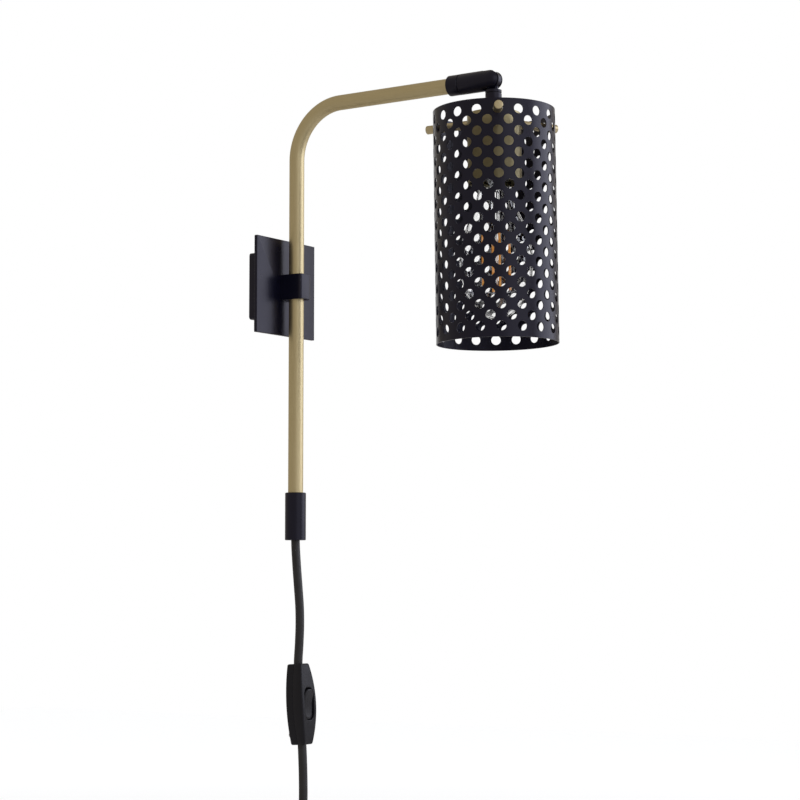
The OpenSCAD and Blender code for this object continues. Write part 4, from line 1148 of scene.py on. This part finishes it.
t = np.concatenate([np.linspace(0.01, 1, 36), np.linspace(1, 2, 37)[1:]])
outer, inner = (round_head(glass_line(shrink, t), 128) for shrink in (0, glass_t))
stands_for(hung("glass_blown", np.concatenate([outer, inner[::-1]]), sharp=60), clear_glass,
           "bulb_glass")

# %% [markdown]
# ## Inside the bulb
#
# A glass stem flares down from the neck and ends in a thin rod. Four strips of small
# diodes stand round it under an orange coat, each with a metal clip at both ends, and
# wires spread from the rod to the clips like spokes.

# %% Stem
low, high = upright_box("bulb_stem")
strip_low, strip_high = upright_box("bulb_filaments")
stem_profile = softened([(0.0113, high[2]), (0.0062, high[2] - 0.004), (0.0036, high[2] - 0.010),
                         (0.0034, strip_high[2] + 0.009), (0.0013, strip_high[2] + 0.005),
                         (0.0012, low[2] + 0.001), (0.0004, low[2])],
                        (0.003, 0.003, 0.002, 0.002, 0.0006), 6)
stands_for(hung("stem_glass", round_head(stem_profile, 48), sharp=60), clear_glass, "bulb_stem")

# %% Strips, clips and wires
# The coated strip starts inside its clips. A wire leaves the rod a little above the upper
# clips or below the lower ones, and runs out to the clip's end
ring_r, strip_r, bare, clip_r, clip_len = 0.011, 0.001, 0.0012, 0.0007, 0.0022
wire_gap, wire_rise, rod_r, wire_r = 0.0004, 0.0012, 0.0011, 0.0003
strip_len = strip_high[2] - strip_low[2]
strip_profile = softened([(near_axis, bare), (strip_r, bare), (strip_r, strip_len - bare),
                          (near_axis, strip_len - bare)], 0.0003)
clip_profile = softened([(near_axis, 0), (clip_r, 0), (clip_r, clip_len), (near_axis, clip_len)],
                        0.0002)
strips, clips = [], []
for angle in np.radians((45, 135, 225, 315)):
    foot = np.array([head_x + ring_r * math.cos(angle), head_y + ring_r * math.sin(angle),
                     strip_low[2]])
    way = np.array([math.cos(angle), math.sin(angle), 0])
    strips.append(carried_round(strip_profile, foot, (0, 0, 1), 24))
    for lift in (0, strip_len - clip_len):
        clips.append(carried_round(clip_profile, foot + (0, 0, lift), (0, 0, 1), 16))
    for z, rise in ((strip_high[2] + wire_gap, wire_rise), (strip_low[2] - wire_gap, -wire_rise)):
        share = np.linspace(0, 1, 9)[:, None]
        start = np.array([head_x, head_y, z + rise]) + rod_r * way
        wire = start + share * (foot + (0, 0, z - strip_low[2]) - start)
        clips.append(carried_along(wire, wire_r, 12, (0, 0, 1)))
stands_for(hung("strips_coated", strips, sharp=50), light_strip, "bulb_filaments")
stands_for(hung("clips_and_wires", clips, sharp=50), zinc_steel, "filament_wires")

# %% [markdown]
# ## The switch
#
# The switch is two moulded halves that clamp the lead. From the front its sides are
# arcs, and from the side its face is an arc too. Each half starts as that outline at the
# seam and climbs over a rounded edge. The front half then runs in to the edge of the
# rocker's oval window and down its wall, so the window is a real hollow. Everything is
# worked out upright and `in_switch` leans it along the lead.

# %% Outline of the switch
# Half the length, then half the width in the middle and at the ends, then the thickness
# behind the lead's centre and in front of it, in the middle and at the ends
switch_half, mid_w, end_w, corner = 0.0335, 0.0103, 0.0059, 0.0016
back_t, front_t, front_end_t = 0.0076, 0.0099, 0.0072


def arc_radius(drop):
    """Radius of the arc that falls by drop from the switch's middle to its ends."""
    return (switch_half**2 + drop**2) / (2 * drop)


def switch_outline():
    """Points and normals round the switch. The normal turns from -90 to 90 degrees up the
    right side, and a point is hub + radius * normal: the hub of the big arc on the side, or,
    past the place where both arcs touch, the hub of a small corner arc inside it."""
    r = arc_radius(mid_w - end_w)
    touch = math.asin((switch_half - corner) / (r - corner))
    a = np.concatenate([np.linspace(-np.pi / 2, -touch, 7), np.linspace(-touch, touch, 36)[1:-1],
                        np.linspace(touch, np.pi / 2, 7)])
    n = np.stack([np.cos(a), np.sin(a)], 1)
    at_corner = (np.abs(a) >= touch - 1e-9)[:, None]
    small = np.array([mid_w - r + (r - corner) * math.cos(touch), switch_half - corner])
    small = small * np.stack([np.ones_like(a), np.sign(a)], 1)
    right = np.where(at_corner, small + corner * n, np.array([mid_w - r, 0]) + r * n)
    return np.concatenate([right, -right]), np.concatenate([n, -n])


def face_depth(z):
    """The front face's height over the lead's centre: R0 - r + sqrt(r^2 - z^2), a circular
    arc of radius r that is R0 high in the middle."""
    r = arc_radius(front_t - front_end_t)
    return front_t - r + np.sqrt(r**2 - z**2)


def oval(points, width, length):
    """Where a ray from the middle through each point meets a straight-sided oval. It meets
    the side at r / |x|, or a round end at s |z| + sqrt(r^2 - s^2 x^2), where r is half the
    width, s is half the straight run and (x, z) is the ray's unit direction."""
    r, s = width / 2, (length - width) / 2
    way = points / np.linalg.norm(points, axis=1, keepdims=True)
    x, z = np.abs(way).T
    to_end = s * z + np.sqrt(np.maximum(r**2 - (s * x) ** 2, 0))
    return way * np.where(r * z <= s * x, r / np.maximum(x, 1e-9), to_end)[:, None]


def as_switch(flat, depth):
    """Plan points (x, z) at a depth behind the lead's centre, in place on the lead."""
    depth = np.broadcast_to(depth, flat.shape[:-1])
    return in_switch(np.stack([flat[..., 0], depth, flat[..., 1]], -1))


plan, plan_out = switch_outline()
print("switch outline:", len(plan), "points")

# %% Back half
seam_edge, back_edge = 0.0003, 0.0018
rows = rounded_rows(plan, plan_out, 0, back_t, (seam_edge, back_edge), 6)
stands_for(skin("switch_back_half", as_switch(rows[..., :2], rows[..., 2]), sharp=50),
           switch_plastic, "switch_base")

# %% Front half
edge, window = 0.0016, (0.0131, 0.0272)
a = np.linspace(0, np.pi / 2, 7)
climb = [(plan - seam_edge * (1 - math.sin(s)) * plan_out,
          seam_edge * (1 - math.cos(s)) + 0 * plan[:, 1]) for s in a[::3]]
climb += [(plan - edge * (1 - math.cos(s)) * plan_out,
           face_depth(plan[:, 1]) - edge * (1 - math.sin(s))) for s in a]
opening = oval(plan, *window)
start = plan - edge * plan_out
for share in (0.25, 0.5, 0.75, 0.92):
    across = start + share * (opening - start)
    climb.append((across, face_depth(across[:, 1])))
# The window's lip is a small round, and its wall goes down past the rocker's edge
for grow, sink in ((0.0006, 0.0), (0.00018, 0.00018), (0.0, 0.0006), (0.0, 0.0045)):
    lip = oval(plan, window[0] + 2 * grow, window[1] + 2 * grow)
    climb.append((lip, face_depth(lip[:, 1]) - sink))
cover = np.stack([as_switch(flat, -depth) for flat, depth in climb])
stands_for(skin("switch_front_half", cover, sharp=50), switch_plastic, "switch_cover")

# %% Rocker
rocker_w, rocker_len, pivot_depth, rest_tilt = 0.0124, 0.0256, 0.0054, math.radians(6.0)
hollow_r, hollow_depth = 0.060, 0.0012


def rocker_face(z):
    """Height of the rocker's face over the lead's centre: a hollow arc, lowest in the
    middle, front_t - hollow_depth + hollow_r - sqrt(hollow_r^2 - z^2)."""
    return front_t - hollow_depth + hollow_r - np.sqrt(hollow_r**2 - z**2)


# Rows of the rocker's sheet, from the foot of its side over the rounded edge to the middle
dish = []
for grow, sink in ((0, 0.0055), (0, 0.0009), (-0.00025, 0.0003), (-0.0008, 0), (-0.0022, 0),
                   (-0.0036, 0), (-0.0050, 0), (-0.0060, 0)):
    ring = oval(plan, rocker_w + 2 * grow, rocker_len + 2 * grow)
    depth = np.minimum(rocker_face(ring[:, 1]), front_t) - sink
    dish.append(np.stack([ring[:, 0], -depth, ring[:, 1]], 1))
dish = turned(np.stack(dish), -rest_tilt, (0, -pivot_depth, 0))
stands_for(skin("switch_rocker_cap", in_switch(dish), sharp=40, body="rocker"), rocker_plastic,
           "switch_rocker")

# %% [markdown]
# ## The plug
#
# The plug is moulded on to the lead. Its strain relief is a slim cone with ribs, so the
# lead bends over a length and not at one place. Below it the section changes from a
# circle to an oval over a soft shoulder, and the sides have a shallow waist to grip.

# %% Strain relief
relief, cone_top, cone_foot, rib_depth, rib_pitch = 0.022, 0.0043, 0.0056, 0.0007, 0.0044
body_len, wide, thick = 0.028, 0.025, 0.014
top = np.array(tail_route[-1])
a = np.linspace(0, 2 * np.pi, 96, endpoint=False)
down = np.concatenate([np.linspace(0, relief, 67), relief + body_len * np.linspace(0, 1, 41)[1:]])
cone = cone_top + (cone_foot - cone_top) * np.minimum(down / relief, 1)
ribs = rib_depth * (0.5 - 0.5 * np.cos(2 * np.pi * down / rib_pitch)) ** 2
cone = cone - np.where(down < relief, ribs, 0)
print("strain relief:", round(relief / rib_pitch), "ribs")

# %% Plug body
# share goes from 0, the cone, to 1, the oval, over the shoulder, as a quarter circle does.
# The waist is a bell curve, and the far end has a rounded edge
shoulder, waist_depth, waist_at, waist_len, end_edge = 0.006, 0.0006, 0.014, 0.006, 0.0012
into = down - relief
share = np.sqrt(1 - (1 - np.clip(into / shoulder, 0, 1)) ** 2)[:, None]
waist = waist_depth * np.exp(-((into - waist_at) / waist_len) ** 2)[:, None]
past_edge = np.clip((into - body_len + end_edge) / end_edge, 0, 1)
end = (end_edge * (1 - np.sqrt(1 - past_edge**2)))[:, None]
straight = (wide - thick) / 2
oval_x = (thick / 2 - waist - end) * np.cos(a) + straight * np.sign(np.round(np.cos(a), 9))
oval_y = (thick / 2 - waist - end) * np.sin(a)
x = (1 - share) * cone[:, None] * np.cos(a) + share * oval_x
y = (1 - share) * cone[:, None] * np.sin(a) + share * oval_y
plug = np.stack([top[0] + x, top[1] + y, np.broadcast_to(top[2] - down[:, None], x.shape)], -1)
stands_for(skin("plug_moulded", plug, sharp=50), switch_plastic, "plug_body")

# %% [markdown]
# ## The tie
#
# A woven strap holds the coil. It is a flat section carried round a loop with round
# corners, and its free end laps over the front, as a hook-and-loop strap does.

# %% Tie
low, high = box_of("cord_tie")
strap_w, strap_t = high[2] - low[2], 0.001
# Drawn a little thinner than it is, the strap keeps two laps from sharing a face
drawn_t = 0.96 * strap_t
loop, loop_out = outline(square_corners(high[0] - low[0] - strap_t, high[1] - low[1] - strap_t,
                                        (low[:2] + high[:2]) / 2), radii=0.0035, step=0.001)
# The last lap points run once more over the start, lifted by the strap's thickness
lap, ramp = 16, 4
loop, loop_out = (np.concatenate([row, row[:lap]]) for row in (loop, loop_out))
lift = np.clip((np.arange(len(loop)) - len(loop) + lap + ramp) / ramp, 0, 1)[:, None]
loop = loop + strap_t * lift * loop_out
section = outline(square_corners(drawn_t, strap_w), radii=0.0003, step=0.001)[0]
flat = loop[:, None] + section[:, :1] * loop_out[:, None]
height = np.broadcast_to((low[2] + high[2]) / 2 + section[:, 1:], (*flat.shape[:2], 1))
stands_for(skin("strap_tie", np.concatenate([flat, height], 2), sharp=50), tie_fabric, "cord_tie")

# %% [markdown]
# ## The switch's screws
#
# Two screws hold the halves together from the back, in opposite corners. Their heads
# stand a tenth of a millimetre proud, and a small hollow in each takes the driver.

# %% Switch screws
screw_x, screw_z, proud, head_r = 0.0056, 0.025, 0.0001, 0.0019
head = softened([(0.0008, -0.0006), (0.0010, 0.0), (head_r, 0.0), (head_r, -0.0015)], 0.0002)
heads = []
for side in (-1, 1):
    spot, behind = (in_switch(np.array([side * screw_x, back_t + far, side * screw_z]))
                    for far in (proud, 1.0))
    heads.append(carried_round(head, spot, behind - spot, 32))
stands_for(skin("screw_heads", heads, sharp=50), zinc_steel, "switch_screws")

# %% [markdown]

# %% [markdown]
# ## Floor, background and light
#
# Black paint and brass show what stands around them more than their own colour. One wide
# soft lamp, a little blue, stands on the right in front of the wall, where the plate
# mirrors it towards the camera. A weaker one farther left draws a second, fainter band
# down round things, and a low warm sky fills the rest. What the camera sees directly, or
# through glass, is plain white, which Light Path sorts out without adding light to the
# object. The floor is a real surface, so it keeps the lamp's shadow.

# %% Floor
def straight_sight(tree):
    """1 for what the camera sees directly or through glass, and 0 for everything else."""
    path = put(tree, "ShaderNodeLightPath").outputs
    return joined(tree, "MAXIMUM", path["Is Camera Ray"], path["Is Transmission Ray"])


# The plug hangs 6 cm over the floor
floor_z, side = cad_low.z - 0.06, 4.0
mesh = bpy.data.meshes.new("floor")
mesh.from_pydata([(-side, -side, floor_z), (side, -side, floor_z), (side, side, floor_z),
                  (-side, side, floor_z)], [], [(0, 1, 2, 3)])
floor = bpy.data.objects.new("floor", mesh)
scene.collection.objects.link(floor)
floor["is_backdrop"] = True
paper, tree, shader = new_material("paper_floor", Roughness=0.9, Base_Color=(0.85, 0.85, 0.85, 1))
# What the lamps leave short of white is added for direct sight only, more of it far away
far = put(tree, "ShaderNodeVectorMath", {0: place(tree)}, operation="LENGTH").outputs["Value"]
lift = joined(tree, "MULTIPLY", between(tree, far, 0.8, 3.0, 0.47, 0.70), straight_sight(tree))
tree.links.new(lift, shader["Emission Strength"])
shader["Emission Color"].default_value = (0.89, 0.94, 1.0, 1)
dress(floor, paper)
print("floor at", round(floor_z, 3), "m")

# %% Sky and backdrop
world = bpy.data.worlds.new("studio")
scene.world = world
world.use_nodes = True
tree = world.node_tree
SKY, SKY_STRENGTH = (1.0, 0.91, 0.80, 1), 0.42
# A white backdrop of 25 degrees each way stands behind the lamp, so glossy rays meet it too
behind = Vector((0.80, 0.59, 0.07)).normalized()
ray = put(tree, "ShaderNodeTexCoord").outputs["Generated"]
towards = put(tree, "ShaderNodeVectorMath", {0: ray, 1: behind},
              operation="DOT_PRODUCT").outputs["Value"]
glossy = put(tree, "ShaderNodeLightPath").outputs["Is Glossy Ray"]
mirrored = joined(tree, "MULTIPLY", between(tree, towards, 0.87, 0.94, 0, 1), glossy)
seen = joined(tree, "MAXIMUM", straight_sight(tree), mirrored)
sky = tree.nodes["Background"]
tree.links.new(mixed(tree, seen, SKY, (1, 1, 1, 1)), sky.inputs["Color"])
tree.links.new(between(tree, seen, 0.0, 1.0, SKY_STRENGTH, 1.0), sky.inputs["Strength"])
print("sky colour:", [round(v, 2) for v in SKY])


# %% Lamps
def soft_lamp(name, place_at, aim, size, power, tint):
    """A rectangular lamp that shines from place_at towards aim. size is (width, height)."""
    data = bpy.data.lights.new(name, "AREA")
    data.shape, data.size, data.size_y = "RECTANGLE", *size
    data.energy, data.color = power, tint
    lamp = bpy.data.objects.new(name, data)
    lamp.location = place_at
    lamp.rotation_mode = "QUATERNION"
    lamp.rotation_quaternion = (Vector(aim) - Vector(place_at)).to_track_quat("-Z", "Y")
    scene.collection.objects.link(lamp)
    print(f"{name}: {power} W, {size[0]} x {size[1]} m")


centre = (0.0, -0.12, -0.05)
soft_lamp("key", (1.30, -1.51, 0.55), centre, (1.77, 1.6), 18.5, (0.80, 0.84, 1.0))
soft_lamp("fill", (-0.68, -2.12, 0.55), centre, (1.85, 1.6), 6.5, (0.81, 0.86, 1.0))
scene.view_settings.view_transform = "Standard"

# %% Sizes and finish
low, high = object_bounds()
grown = [1000 * max(a, b) for a, b in zip(cad_low - low, high - cad_high)]
print("visual model past the CAD box, mm:", [round(g, 2) for g in grown])
